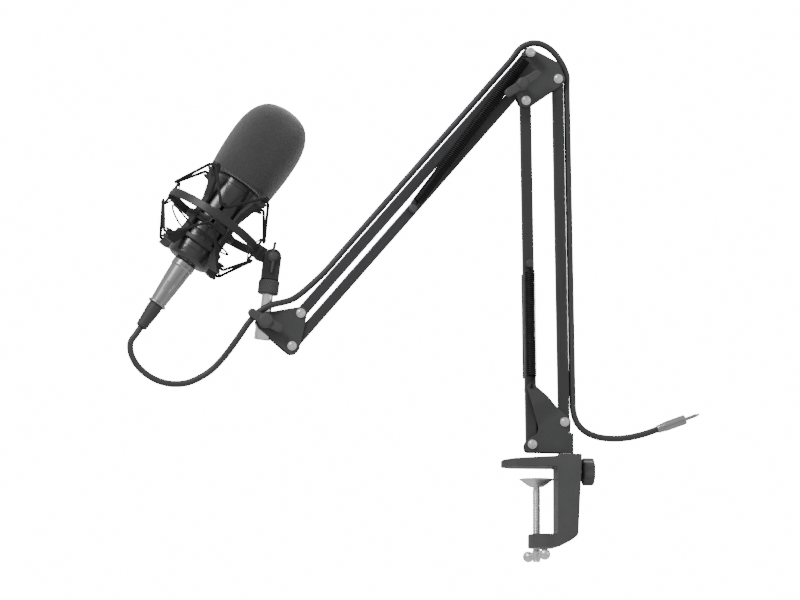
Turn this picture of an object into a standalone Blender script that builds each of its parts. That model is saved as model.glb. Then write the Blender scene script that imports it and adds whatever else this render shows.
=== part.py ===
"""Condenser microphone in a shock mount, on a spring scissor arm with a desk clamp.

Lengths are millimetres until a mesh is placed. X runs along the desk edge side view, Y goes away
from the front, Z is up. The origin is the clamp screw's axis at the underside of the top jaw.
"""
from math import atan2, cos, degrees, hypot, pi, radians, sin, tau

import bmesh
import bpy
from mathutils import Matrix, Vector
from mathutils.geometry import delaunay_2d_cdt

MM = 0.001
GAP = 0.3            # clearance between neighbouring pieces
SEG = 16             # sides of a small round piece
WIDE = 28            # sides of a wide round piece
BOLT_SEG = 12

# clamp
CLAMP_HALF_DEPTH = 19.0
JAW_END = -35.0
ARM_END = -8.6
MOUTH_FLOOR = -67.0
COLUMN_IN = 19.0
SWIVEL_X = 29.5
SWIVEL_R = 5.8
SCREW_R = 4.0
SCREW_END = -94.4
PAD_TOP = -11.3
PAD_R = 17.2
KNOB_Z = -3.7
TOMMY_Z = -88.0
TOMMY_TURN = 17.0

# arm: pivots in the XZ plane
BAR_HALF = 5.5
BAR_WALL = 1.0
B1 = Vector((-5.0, 22.7))
B2 = Vector((27.7, 45.3))
LOWER = Vector((-5.45, 346.6))
E1 = B1 + LOWER
E2 = B2 + LOWER
E3 = Vector((-7.4, 416.6))
E4 = Vector((-16.2, 383.6))
UPPER = Vector((-229.8, -264.8))
A = E3 + UPPER
B = E4 + UPPER
W = Vector((-273.2, 143.0))
PLATE_IN = 6.1
PLATE_OUT = 8.0
BOLT_R = 2.5
HOLE_R = BOLT_R + GAP

# springs
SPRING_R = 5.75
SPRING_WIRE = 1.2
LOWER_SPRING_Y = 13.5
UPPER_SPRING_Y = 14.5
LOWER_STUD = B1 + LOWER * (180.8 / LOWER.length)
UPPER_STUD = E4 + UPPER * (167.0 / UPPER.length)
TAB_EYE = Vector((-6.4, 79.4))

# post, clevis and collar: heights along the leaning post axis, from W
POST_LEAN = 7.0
STUD_R = 5.7
COLLAR_R = 10.7
COLLAR_LOW = 28.05
COLLAR_HIGH = 42.55
CLEVIS_HALF = 8.75
CLEVIS_Y = 8.4
EAR_IN = 4.25
PIVOT_RISE = 65.2

# microphone frame: ring centre, axis leaning to the right
RING = Vector((-324.1, 243.8))
MIC_LEAN = 34.0
RING_OUT = 52.5
RING_IN = 49.0
RING_HALF = 4.3
PIVOT_N = 69.1
PIVOT_U = 3.0
BODY_R = 22.8
BODY_TOP = 45.0
BASE_TOP = -31.0
BASE_END = -49.0
ELASTIC_R = 1.5
HOOK_OUT = 43.0
PEG_OUT = 51.6

# cable
CABLE_R = 3.25
CABLE_STEP = 14.0
STRAIGHT_STEP = 19.0
BAR_OFFSET = 9.4

BLACK = (0.045, 0.045, 0.048)
MATERIALS = {
    "clamp_paint": ((0.062, 0.062, 0.064), 0.2, 0.5),
    "arm_paint": ((0.045, 0.045, 0.047), 0.2, 0.45),
    "plate_paint": ((0.055, 0.055, 0.057), 0.2, 0.5),
    "bright_steel": ((0.62, 0.62, 0.62), 1.0, 0.28),
    "chrome": ((0.80, 0.80, 0.81), 1.0, 0.12),
    "spring_black": ((0.012, 0.012, 0.013), 0.4, 0.45),
    "knob_plastic": ((0.035, 0.035, 0.037), 0.0, 0.5),
    "mount_plastic": ((0.04, 0.04, 0.042), 0.0, 0.45),
    "elastic_cord": ((0.02, 0.02, 0.021), 0.0, 0.85),
    "mic_enamel": ((0.05, 0.05, 0.052), 0.5, 0.3),
    "foam": ((0.07, 0.07, 0.071), 0.0, 0.95),
    "basket_mesh": ((0.35, 0.35, 0.36), 1.0, 0.4),
    "brass": ((0.62, 0.45, 0.16), 1.0, 0.35),
    "board_green": ((0.03, 0.16, 0.07), 0.0, 0.5),
    "connector_metal": ((0.42, 0.42, 0.43), 1.0, 0.25),
    "cable_rubber": ((0.06, 0.06, 0.062), 0.0, 0.6),
}


def clear_scene():
    for obj in list(bpy.data.objects):
        bpy.data.objects.remove(obj, do_unlink=True)


def material(name):
    found = bpy.data.materials.get(name)
    if found:
        return found
    color, metallic, rough = MATERIALS[name]
    made = bpy.data.materials.new(name)
    made.use_nodes = True
    shader = made.node_tree.nodes["Principled BSDF"]
    shader.inputs["Base Color"].default_value = (*color, 1.0)
    shader.inputs["Metallic"].default_value = metallic
    shader.inputs["Roughness"].default_value = rough
    return made


def origin(point):
    """A pivot in the XZ plane as a 3D point in millimetres."""
    return Vector((point[0], 0.0, point[1]))


def lean(point, angle):
    """Local frame at an XZ point, its Z axis leaning to +X by an angle in degrees."""
    return Matrix.Translation(origin(point)) @ Matrix.Rotation(radians(angle), 4, "Y")


def facing(point, turn=0.0):
    """Local frame at an XZ point, its Z axis towards the front."""
    spin_y = Matrix.Rotation(radians(-turn), 4, "Y")
    return Matrix.Translation(origin(point)) @ spin_y @ Matrix.Rotation(radians(90), 4, "X")


def link(name, data, at):
    obj = bpy.data.objects.new(name, data)
    obj.location = at * MM
    bpy.context.scene.collection.objects.link(obj)
    return obj


def to_mesh(name, bm, at, place=None):
    if place is not None:
        bm.transform(place)
    bm.transform(Matrix.Scale(MM, 4) @ Matrix.Translation(-at))
    bmesh.ops.recalc_face_normals(bm, faces=bm.faces)
    mesh = bpy.data.meshes.new(name)
    bm.to_mesh(mesh)
    bm.free()
    return mesh


def emit(name, bm, mat, at=Vector((0, 0, 0)), place=None):
    """One finished node, with its origin on the point at."""
    mesh = to_mesh(name, bm, at, place)
    mesh.materials.append(material(mat))
    mesh.shade_smooth()
    mesh.set_sharp_from_angle(angle=radians(32))
    return link(name, mesh, at)


def boolean(obj, bm, place=None, operation="DIFFERENCE"):
    name = "cut_%s_%d" % (obj.name, len(obj.modifiers))
    cutter = link(name, to_mesh(name, bm, Vector((0, 0, 0)), place), Vector((0, 0, 0)))
    cutter.hide_render = True
    cutter.display_type = "WIRE"
    mod = obj.modifiers.new("boolean", "BOOLEAN")
    mod.operation = operation
    mod.solver = "EXACT"
    mod.object = cutter


def join_rows(bm, low, high):
    count = max(len(low), len(high))
    for k in range(count):
        n = (k + 1) % count
        if len(low) == 1:
            bm.faces.new((low[0], high[n], high[k]))
        elif len(high) == 1:
            bm.faces.new((low[k], low[n], high[0]))
        else:
            bm.faces.new((low[k], low[n], high[n], high[k]))


def spin(profile, seg=SEG, shape=None, angles=None):
    """Solid of revolution about Z from (radius, z) entries.

    An entry (factor, z, True) follows shape(angle) times factor. A profile that doesn't start on
    the axis closes on itself and makes a ring.
    """
    bm = bmesh.new()
    angles = angles or [tau * k / seg for k in range(seg)]
    rows = []
    for entry in profile:
        if entry[0] == 0:
            rows.append([bm.verts.new((0, 0, entry[1]))])
            continue
        row = []
        for a in angles:
            r = entry[0] * (shape(a) if len(entry) > 2 else 1.0)
            row.append(bm.verts.new((r * cos(a), r * sin(a), entry[1])))
        rows.append(row)
    pairs = list(zip(rows, rows[1:]))
    if len(rows[0]) > 1:
        pairs.append((rows[-1], rows[0]))
    for low, high in pairs:
        join_rows(bm, low, high)
    return bm


def hexagon(a):
    """Radius of a hexagon whose flats are one unit from the centre."""
    return 1.0 / cos((a + pi / 6) % (pi / 3) - pi / 6)


def circle(centre, r, n=16, start=0.0, end=360.0):
    whole = abs(end - start) >= 360.0
    steps = n if whole else n - 1
    angles = [radians(start + (end - start) * k / steps) for k in range(n)]
    return [(centre[0] + r * cos(a), centre[1] + r * sin(a)) for a in angles]


def turn_of(o, a, b):
    return (a[0] - o[0]) * (b[1] - o[1]) - (a[1] - o[1]) * (b[0] - o[0])


def hull(points):
    points = sorted(set((round(x, 6), round(z, 6)) for x, z in points))
    sides = []
    for run in (points, points[::-1]):
        side = []
        for p in run:
            while len(side) > 1 and turn_of(side[-2], side[-1], p) <= 1e-9:
                side.pop()
            side.append(p)
        sides += side[:-1]
    return sides


def hull_of(circles, n=18):
    points = []
    for centre, r in circles:
        points += circle(centre, r, n)
    return hull(points)


def inside(p, loops):
    odd = False
    for loop in loops:
        for a, b in zip(loop, loop[1:] + loop[:1]):
            if (a[1] > p[1]) != (b[1] > p[1]):
                if p[0] < a[0] + (b[0] - a[0]) * (p[1] - a[1]) / (b[1] - a[1]):
                    odd = not odd
    return odd


def region(loops, folds=()):
    """Triangles over an outline with holes, cut along the fold lines."""
    points, edges = [], []
    for loop in loops:
        first = len(points)
        points += [Vector(p) for p in loop]
        edges += [(first + i, first + (i + 1) % len(loop)) for i in range(len(loop))]
    for a, b in folds:
        edges.append((len(points), len(points) + 1))
        points += [Vector(a), Vector(b)]
    verts, _, faces = delaunay_2d_cdt(points, edges, [], 0, 1e-6)[:3]
    kept = []
    for face in faces:
        centre = sum((verts[i] for i in face), Vector((0, 0))) / len(face)
        if inside(centre, loops):
            kept.append(face)
    return verts, kept


def slab(loops, low, high, folds=(), bm=None, open_x=None):
    """Solid over an XZ region, from y = low to y = high; either may be a function of (x, z).

    The side wall on the straight edge at x = open_x is left open, and its corners are returned.
    """
    bm = bm or bmesh.new()
    verts, faces = region(loops, folds)
    low_y = low if callable(low) else (lambda x, z: low)
    high_y = high if callable(high) else (lambda x, z: high)
    used = sorted(set(i for f in faces for i in f))
    lows = {i: bm.verts.new((verts[i][0], low_y(*verts[i]), verts[i][1])) for i in used}
    highs = {i: bm.verts.new((verts[i][0], high_y(*verts[i]), verts[i][1])) for i in used}
    sides = {}
    for f in faces:
        bm.faces.new([lows[i] for i in f])
        bm.faces.new([highs[i] for i in reversed(f)])
        for a, b in zip(f, f[1:] + f[:1]):
            sides[(a, b)] = True
    corners = None
    for a, b in sides:
        if (b, a) in sides:
            continue
        xs = (verts[a][0], verts[b][0])
        if open_x is not None and max(abs(x - open_x) for x in xs) < 1e-4:
            if verts[a][1] > verts[b][1]:
                a, b = b, a
            corners = [lows[a], lows[b], highs[b], highs[a]]
            continue
        bm.faces.new((lows[b], lows[a], highs[a], highs[b]))
    return (bm, corners) if open_x is not None else bm


def plan_slab(loops, low, high):
    """Solid over an XY region between two heights."""
    bm = slab(loops, low, high)
    swap = Matrix(((1, 0, 0, 0), (0, 0, 1, 0), (0, 1, 0, 0), (0, 0, 0, 1)))
    bm.transform(swap)
    return bm


def box(low, high):
    loop = [(low[0], low[2]), (high[0], low[2]), (high[0], high[2]), (low[0], high[2])]
    return slab([loop], low[1], high[1])


def merge(parts):
    """Several separate closed meshes in one bmesh."""
    bm = bmesh.new()
    for part in parts:
        mesh = bpy.data.meshes.new("part")
        part.to_mesh(mesh)
        part.free()
        bm.from_mesh(mesh)
        bpy.data.meshes.remove(mesh)
    return bm


def tube(points, r, sides, radial):
    """Closed tube round a loop of points; radial(p) is a direction never along the loop."""
    bm = bmesh.new()
    rows = []
    count = len(points)
    for k, p in enumerate(points):
        t = (points[(k + 1) % count] - points[k - 1]).normalized()
        side = t.cross(radial(p)).normalized()
        up = side.cross(t)
        ring = [tau * j / sides for j in range(sides)]
        rows.append([bm.verts.new(p + side * (r * cos(a)) + up * (r * sin(a))) for a in ring])
    for k in range(count):
        join_rows(bm, rows[k], rows[(k + 1) % count])
    return bm


# ---------------------------------------------------------------- clamp

def clamp_outline():
    """Side view of the C frame, from the jaw's lower left corner."""
    curve = [(39.6, -69.0), (33.0, -73.6), (26.0, -77.2), (18.0, -79.8), (11.0, -80.5)]
    fillet = circle((COLUMN_IN - 4, MOUTH_FLOOR + 4), 4, 5, -90, 0)
    return ([(JAW_END, 0), (JAW_END, 7.2), (-23.0, 8.3), (20.0, 10.9), (21.5, 13.0), (43.7, 13.0),
             (42.6, -12.0)] + curve + [(ARM_END, -80.5), (ARM_END, MOUTH_FLOOR)] + fillet
            + [(COLUMN_IN, 0)])


def clamp_trims():
    """Pieces cut off the jaw's corners and round the lower arm's end, in plan."""
    d = CLAMP_HALF_DEPTH
    parts = []
    for s in (-1, 1):
        corner = [(JAW_END - 1, s * (d - 13)), (JAW_END - 1, s * (d + 1)), (-22.0, s * (d + 1))]
        parts.append(plan_slab([corner], -3.0, 12.0))
    mid = ARM_END + d
    arc = circle((mid, 0), d, 13, 90, 270)
    ends = [(mid, -d - 2), (ARM_END - 4, -d - 2), (ARM_END - 4, d + 2), (mid, d + 2)]
    parts.append(plan_slab([arc + ends], -84.0, MOUTH_FLOOR + 3))
    return merge(parts)


def build_clamp():
    frame = emit("clamp_frame", slab([clamp_outline()], -CLAMP_HALF_DEPTH, CLAMP_HALF_DEPTH),
                 "clamp_paint")
    boolean(frame, clamp_trims())
    hole = SWIVEL_R + GAP
    bore = spin([(0, -11.0), (hole, -11.0), (hole, 15.0), (0, 15.0)])
    bore.transform(Matrix.Translation((SWIVEL_X, 0, 0)))
    thread = spin([(0, -84.0), (SCREW_R + GAP, -84.0), (SCREW_R + GAP, -60.0), (0, -60.0)])
    boolean(frame, merge([bore, thread]))
    side = Matrix.Translation((0, 0, KNOB_Z)) @ Matrix.Rotation(radians(90), 4, "Y")
    boolean(frame, spin([(0, 32.0), (3.3, 32.0), (3.3, 46.0), (0, 46.0)], 16), side)

    at = Vector((0, 0, KNOB_Z))
    lobes = lambda a: 1.0 + 0.075 * cos(6 * a)
    knob = [(0, 35.7), (3.0, 35.7), (3.0, 45.0), (9.5, 45.0), (12.2, 46.2, True),
            (12.9, 48.0, True), (12.9, 55.6, True), (11.6, 58.0, True), (9.0, 58.4), (0, 58.4)]
    emit("lock_knob", spin(knob, 24, lobes), "knob_plastic", at, side)

    pad = [(0, -14.0), (SCREW_R + GAP, -14.0), (SCREW_R + GAP, -19.4), (6.7, -19.4),
           (12.0, -16.4), (16.2, -12.9), (PAD_R, -12.2), (PAD_R, PAD_TOP), (0, PAD_TOP)]
    emit("pressure_pad", spin(pad, 20), "bright_steel")
    screw = emit("clamp_screw", spin([(0, SCREW_END), (SCREW_R - 0.6, SCREW_END),
                                      (SCREW_R, SCREW_END + 0.8), (SCREW_R, -15.0),
                                      (SCREW_R - 0.7, -14.3), (0, -14.3)]), "bright_steel")
    across = (Matrix.Translation((0, 0, TOMMY_Z)) @ Matrix.Rotation(radians(TOMMY_TURN), 4, "Z")
              @ Matrix.Rotation(radians(90), 4, "X"))
    boolean(screw, spin([(0, -8), (2.3, -8), (2.3, 8), (0, 8)], 12), across)
    ball = [(5.6 * sin(radians(a)), -20.0 - 5.6 * cos(radians(a))) for a in (30, 60, 90, 120, 150)]
    profile = [(0, -25.6)] + ball + [(2.0, -14.0), (2.0, 14.0)]
    profile += [(r, -z) for r, z in reversed(ball)] + [(0, 25.6)]
    emit("tommy_bar", spin(profile, 12), "bright_steel", place=across)


# ---------------------------------------------------------------- base bracket

FOLD_DIR = Vector((0.772, 0.636))
FOLD_OUT = Vector((-0.636, 0.772))
FOLD_LOW = Vector((11.05, 50.25))
FOLD_GAP = 15.5
JOGGLE = 5.9


def joggle(x, z):
    """How far the sheet has stepped outward at a point, from the two fold lines."""
    along = (Vector((x, z)) - FOLD_LOW).dot(FOLD_OUT) / FOLD_GAP
    return JOGGLE * min(1.0, max(0.0, along))


def base_outline():
    left = [(-9.0, 15.0), (-12.0, 17.0), (-12.3, 22.5), (-10.4, 26.7), (-5.0, 30.4), (0.0, 33.6),
            (1.3, 39.0), (-2.9, 52.6), (-8.4, 71.5)]
    eye = circle(TAB_EYE, 4.3, 7, 210, 60)
    right = [(10.3, 70.6), (17.8, 62.3)]
    corner = circle(B2, 6.3, 7, 60, -10)
    return left + eye + right + corner + [(33.4, 35.2), (SWIVEL_X, 34.5), (SWIVEL_X, 14.5)]


def base_plate(bm, side):
    folds = []
    for shift in (0.0, FOLD_GAP):
        mid = FOLD_LOW + FOLD_OUT * shift
        folds.append((mid - FOLD_DIR * 40, mid + FOLD_DIR * 40))
    loops = [base_outline(), circle(B1, HOLE_R, 10), circle(B2, HOLE_R, 10),
             circle(TAB_EYE, 1.9, 8)]
    inner = lambda x, z: side * (PLATE_IN + joggle(x, z))
    outer = lambda x, z: side * (PLATE_OUT + joggle(x, z))
    return slab(loops, inner, outer, folds, bm, SWIVEL_X)[1]


def base_bracket():
    """Two joggled plates of one sheet, wrapped round the swivel post."""
    bm = bmesh.new()
    front = base_plate(bm, -1)
    rear = base_plate(bm, 1)
    steps = 8
    last = front
    for k in range(1, steps + 1):
        a = -pi / 2 + pi * k / steps
        row = rear
        if k < steps:
            row = []
            for v in front:
                r = abs(v.co.y)
                row.append(bm.verts.new((SWIVEL_X + r * cos(a), r * sin(a), v.co.z)))
        for i in range(4):
            j = (i + 1) % 4
            bm.faces.new((last[i], last[j], row[j], row[i]))
        last = row
    return bm


def through_bolt(name, point, mat="bright_steel", reach=PLATE_OUT + GAP, rear=PLATE_OUT + GAP,
                 head=4.0, rise=3.4, at=None):
    """Hexagon bolt along Y with its nut, through both plates."""
    profile = [(0, -rear - rise), (head, -rear - rise, True), (head, -rear, True),
               (BOLT_R, -rear), (BOLT_R, reach), (head, reach, True), (head * 0.9, reach + rise, True),
               (0, reach + rise)]
    emit(name, spin(profile, BOLT_SEG, hexagon), mat, origin(at or point), facing(point))


def build_turntable():
    at = Vector((SWIVEL_X, 0, 0))
    place = Matrix.Translation(at)
    top = 36.0
    profile = [(0, -10.6), (SWIVEL_R, -10.6), (SWIVEL_R, 13.3), (7.9, 13.3), (7.9, 14.2),
               (SWIVEL_R, 14.2), (SWIVEL_R, top), (0, top)]
    emit("swivel_post", spin(profile), "bright_steel", at, place)
    emit("base_bracket", base_bracket(), "plate_paint", at)
    through_bolt("base_bolt_front", B1)
    through_bolt("base_bolt_back", B2)


# ---------------------------------------------------------------- arms

def bar(name, start, end, extra=()):
    """Square tube with round ends, from pivot to pivot, hollow right through."""
    holes = [circle(p, HOLE_R, 10) for p in (start, end, *extra)]
    outline = hull_of([(start, BAR_HALF), (end, BAR_HALF)], 16)
    obj = emit(name, slab([outline] + holes, -BAR_HALF, BAR_HALF), "arm_paint", origin(start))
    run = end - start
    inner = BAR_HALF - BAR_WALL
    core = box((-inner, -inner, -9.0), (inner, inner, run.length + 9.0))
    boolean(obj, core, lean(start, degrees(atan2(run[0], run[1]))))


def spring(name, start, end, y, near, far, at):
    """Plain stand-in body for a coil: a thin cup, its hook kept short of what it holds."""
    run = end - start
    top = run.length - far
    wall = SPRING_R - SPRING_WIRE
    profile = [(0, near[0]), (SPRING_WIRE, near[0]), (SPRING_WIRE, near[1]), (SPRING_R, near[1]),
               (SPRING_R, top), (wall, top), (wall, near[1] + SPRING_WIRE),
               (0, near[1] + SPRING_WIRE)]
    place = Matrix.Translation((0, y, 0)) @ lean(start, degrees(atan2(run[0], run[1])))
    emit(name, spin(profile, 14), "spring_black", origin(at), place)


def stud(name, point, reach, at):
    ends = reach + 1.8
    profile = [(0, -ends), (4.2, -ends), (4.2, -reach), (BOLT_R, -reach), (BOLT_R, reach),
               (4.2, reach), (4.2, ends), (0, ends)]
    emit(name, spin(profile, 14), "spring_black", origin(at), facing(point))


def build_lower_arm():
    bar("lower_front_bar", B1, E1, [LOWER_STUD])
    stud("lower_spring_stud", LOWER_STUD, LOWER_SPRING_Y + 2.0, B1)
    for name, side in (("lower_spring_front", -1), ("lower_spring_rear", 1)):
        spring(name, TAB_EYE, LOWER_STUD, side * LOWER_SPRING_Y, (5.0, 11.6), 7.6, B1)
    bar("lower_back_bar", B2, E2)


def plate(name, circles, holes, side, mat, at):
    loops = [hull_of(circles)] + [circle(p, r, 10) for p, r in holes]
    low, high = sorted((side * PLATE_IN, side * PLATE_OUT))
    emit(name, slab(loops, low, high), mat, origin(at))


def wing_shape(hub, reach, tip):
    """Outline of a two-winged nut as a radius for each angle."""
    def radius(a):
        along, across = abs(cos(a)), abs(sin(a))
        flat = tip / across if across > 1e-6 else 1e9
        if flat * along <= reach:
            return max(hub, flat)
        root = max(0.0, tip * tip - (reach * across) ** 2)
        return max(hub, reach * along + root ** 0.5)
    return radius


def wing_nut(name, point, back, neck, hub, reach, tip, thick, turn):
    """Plastic wing nut: round neck from the back face, then the winged head."""
    shape = wing_shape(hub, reach, tip)
    quarter = (0, 7, 14, 24, 40, 64)
    half = [radians(d) for d in quarter + (90,) + tuple(180 - d for d in quarter[:0:-1])]
    angles = half + [a + pi for a in half]
    face = back + neck
    profile = [(0, face + thick - 2.5), (HOLE_R, face + thick - 2.5), (HOLE_R, back),
               (hub * 0.72, back), (hub * 0.72, face), (0.95, face, True), (1.0, face + 1.0, True),
               (1.0, face + thick - 1.4, True), (0.9, face + thick, True), (0, face + thick)]
    emit(name, spin(profile, 0, shape, angles), "knob_plastic", origin(point), facing(point, turn))


def build_elbow():
    circles = [(E3, 6.5), ((18.0, 404.0), 6.0), (E2, 7.0), (E1, 7.0), (E4, 8.0)]
    holes = [(E1, HOLE_R), (E2, HOLE_R), (E3, HOLE_R), (E4, HOLE_R)]
    plate("elbow_plate_front", circles, holes, -1, "plate_paint", E2)
    plate("elbow_plate_rear", circles, holes, 1, "plate_paint", E2)
    through_bolt("elbow_bolt_front", E1, at=E2)
    through_bolt("elbow_bolt_back", E2)
    through_bolt("elbow_spring_bolt", E3, reach=21.0, rear=21.0, at=E2)
    back = PLATE_OUT + GAP
    profile = [(0, -back - 3.4), (4.6, -back - 3.4), (4.6, -back), (BOLT_R, -back),
               (BOLT_R, back), (3.4, back), (3.4, 20.7), (BOLT_R, 20.7), (BOLT_R, 29.5), (0, 29.5)]
    emit("elbow_wing_bolt", spin(profile), "bright_steel", origin(E2), facing(E4))
    wing_nut("elbow_wing_nut", E4, 21.0, 3.0, 6.1, 17.0, 4.3, 9.0, 33.5)


def build_upper_arm():
    bar("upper_top_bar", E3, A)
    bar("upper_bottom_bar", E4, B, [UPPER_STUD])
    stud("upper_spring_stud", UPPER_STUD, UPPER_SPRING_Y + 2.0, E4)
    for name, side in (("upper_spring_front", -1), ("upper_spring_rear", 1)):
        spring(name, E3, UPPER_STUD, side * UPPER_SPRING_Y, (3.0, 8.0), 9.0, E4)


def build_head():
    circles = [(W, 9.0), (A, 6.5), (B, 8.0)]
    holes = [(W, 3.5), (A, HOLE_R), (B, HOLE_R)]
    plate("head_plate_front", circles, holes, -1, "plate_paint", A)
    plate("head_plate_rear", circles, holes, 1, "plate_paint", A)
    through_bolt("head_bolt_top", A)
    through_bolt("head_bolt_bottom", B, at=A)
    back = PLATE_OUT + GAP
    profile = [(0, -back - 3.4), (5.4, -back - 3.4), (5.4, -back), (3.2, -back), (3.2, back),
               (BOLT_R, back), (BOLT_R, 19.0), (0, 19.0)]
    emit("head_wing_bolt", spin(profile), "bright_steel", origin(A), facing(W))
    wing_nut("head_wing_nut", W, back, 7.9, 7.6, 15.3, 4.5, 6.5, -28.9)


# ---------------------------------------------------------------- post and clevis

def build_post():
    place = lean(W, POST_LEAN)
    profile = [(0, -17.5), (7.6, -17.5), (8.2, -16.8), (8.2, 9.6), (STUD_R, 10.4),
               (STUD_R, 51.2), (STUD_R - 0.6, 51.8), (0, 51.8)]
    post = emit("threaded_post", spin(profile), "chrome", origin(W), place)
    frame = [(-14, -22), (14, -22), (14, 56), (-14, 56)]
    boolean(post, slab([frame, circle((0, 0), 3.5, 16)], -5.8, 5.8), place, "INTERSECT")

    bore = STUD_R + GAP
    ring = [(bore, COLLAR_LOW), (COLLAR_R - 0.8, COLLAR_LOW), (COLLAR_R, COLLAR_LOW + 0.8),
            (COLLAR_R, COLLAR_HIGH - 0.8), (COLLAR_R - 0.8, COLLAR_HIGH), (bore, COLLAR_HIGH)]
    emit("knurled_collar", spin(ring, 20), "knob_plastic", origin(W), place)

    foot = COLLAR_HIGH + GAP
    side = [(-CLEVIS_HALF, foot), (CLEVIS_HALF, foot)]
    top = circle((0, PIVOT_RISE), CLEVIS_HALF, 11, 0, 180)
    outline = side + top
    hole = circle((0, PIVOT_RISE), HOLE_R, 12)
    clevis = emit("clevis", slab([outline, hole], -CLEVIS_Y, CLEVIS_Y), "mount_plastic",
                  origin(W), place)
    slot = box((-12, -EAR_IN, 54.5), (12, EAR_IN, PIVOT_RISE + 14))
    socket = spin([(0, foot - 3), (bore, foot - 3), (bore, 52.3), (0, 52.3)])
    boolean(clevis, merge([slot, socket]), place)

    pivot = pivot_point()
    front = CLEVIS_Y + GAP
    lever = lever_outline()
    loops = [lever, circle((0, 0), HOLE_R, 12)]
    emit("tilt_lever", slab(loops, -front - 3.4, -front), "knob_plastic", origin(pivot),
         lean(pivot, 0))
    profile = [(0, -front - 3.4), (5.0, -front - 3.4, True), (5.0, -front, True),
               (BOLT_R, -front), (BOLT_R, front + 3.7), (3.9, front + 3.7), (3.9, front + 4.6),
               (3.0, front + 5.2), (0, front + 5.2)]
    emit("tilt_screw", spin(profile, BOLT_SEG, lambda a: hexagon(a) * 0.9), "bright_steel",
         origin(pivot), facing(pivot))


def lever_outline():
    """Disc with a thin arm up and one down, as one outline round the pivot."""
    half = 1.45
    disc = 5.1
    lift = (disc * disc - half * half) ** 0.5
    up = (2.3, 15.0)
    down = (-2.0, -16.2)
    points = []
    points += [(half, lift), (up[0] + half, up[1] - 1.0), (up[0] + half - 0.7, up[1])]
    points += [(up[0] - half + 0.7, up[1]), (up[0] - half, up[1] - 1.0), (-half, lift)]
    points += circle((0, 0), disc, 9, 120, 240)
    points += [(-half, -lift), (down[0] - half, down[1] + 1.0), (down[0] - half + 0.7, down[1])]
    points += [(down[0] + half - 0.7, down[1]), (down[0] + half, down[1] + 1.0), (half, -lift)]
    points += circle((0, 0), disc, 9, -60, 60)
    return points


def pivot_point():
    """The tilt pivot in the XZ plane."""
    p = lean(W, POST_LEAN) @ Vector((0, 0, PIVOT_RISE))
    return Vector((p.x, p.z))


# ---------------------------------------------------------------- shock mount and microphone

def mic_frame():
    """Local frame of the microphone: X towards the clevis, Z along its axis."""
    return lean(RING, MIC_LEAN)


def polar(azimuth, r, tangent, h):
    a = radians(azimuth)
    out = Vector((cos(a), sin(a), 0))
    side = Vector((-sin(a), cos(a), 0))
    return out * r + side * tangent + Vector((0, 0, h))


def around(loops, half, first):
    """Four copies of an XZ profile of the given half width, a quarter turn apart about Z."""
    copies = []
    for k in range(4):
        bm = slab(loops, -half, half)
        bm.transform(Matrix.Rotation(radians(90 * k + first), 4, "Z"))
        copies.append(bm)
    return copies


def build_shock_ring():
    place = mic_frame()
    at = origin(pivot_point())
    ring = [(RING_IN, -RING_HALF), (RING_OUT, -RING_HALF), (RING_OUT, RING_HALF),
            (RING_IN, RING_HALF)]
    hoop = emit("outer_ring", spin(ring, 36), "mount_plastic", at, place)
    half = [(PEG_OUT, 13.6), (49.0, 13.6), (44.2, 5.2)]
    hole = [(46.4, 6.1), (50.2, 6.1), (50.2, 11.0), (49.4, 11.0)]
    loops = [half + [(x, -z) for x, z in reversed(half)], hole, [(x, -z) for x, z in reversed(hole)]]
    boolean(hoop, merge(around(loops, 2.0, 0.0)), place, "UNION")
    local = place.inverted() @ at
    pivot = (local.x, local.z)
    tip = circle(pivot, 7.5, 11, -75, 75)
    lug = [(RING_OUT + GAP, 6.0), (54.5, 7.3), (62.5, 7.4)]
    keel = [(57.4, -7.6), (54.8, -7.6), (RING_OUT + GAP, -6.0)]
    loops = [keel[::-1] + tip + lug[::-1], circle(pivot, HOLE_R, 12)]
    emit("ring_arm", slab(loops, -EAR_IN + GAP, EAR_IN - GAP), "mount_plastic", at, place)
    radial = lambda p: Vector((p.x, p.y, 0)).normalized()
    for name, peg, hook in (("elastic_upper", 11.2, 41.5), ("elastic_lower", -11.2, -39.5)):
        points = []
        for k in range(4):
            r = PEG_OUT + GAP + ELASTIC_R
            points += [polar(90 * k, r, t, peg) for t in (-3.7, 3.7)]
            r = HOOK_OUT + GAP + ELASTIC_R
            points += [polar(90 * k + 45, r, t, hook) for t in (-5.0, 5.0)]
        emit(name, tube(points, ELASTIC_R, 6, radial), "elastic_cord", at, place)


def build_cradle():
    place = mic_frame()
    at = origin(RING)
    inner = BODY_R + GAP + 0.1
    band = spin([(inner, -9.5), (27.4, -9.5), (27.4, -2.5), (inner, -2.5)], 24)
    foot = spin([(inner, -30.4), (26.4, -30.4), (26.4, -25.4), (inner, -25.4)], 24)
    cage = emit("cradle_cage", merge([band, foot]), "mount_plastic", at, place)
    strut = [(24.6, -31.5), (33.5, -45.0), (HOOK_OUT, -45.0), (HOOK_OUT, -35.5), (34.0, -34.4),
             (28.9, -24.0), (28.6, 16.0), (38.4, 36.0), (HOOK_OUT, 37.0), (HOOK_OUT, 46.6),
             (38.4, 46.6), (25.0, 20.0)]
    boolean(cage, merge(around([strut], 3.5, 45.0)), place, "UNION")


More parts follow.
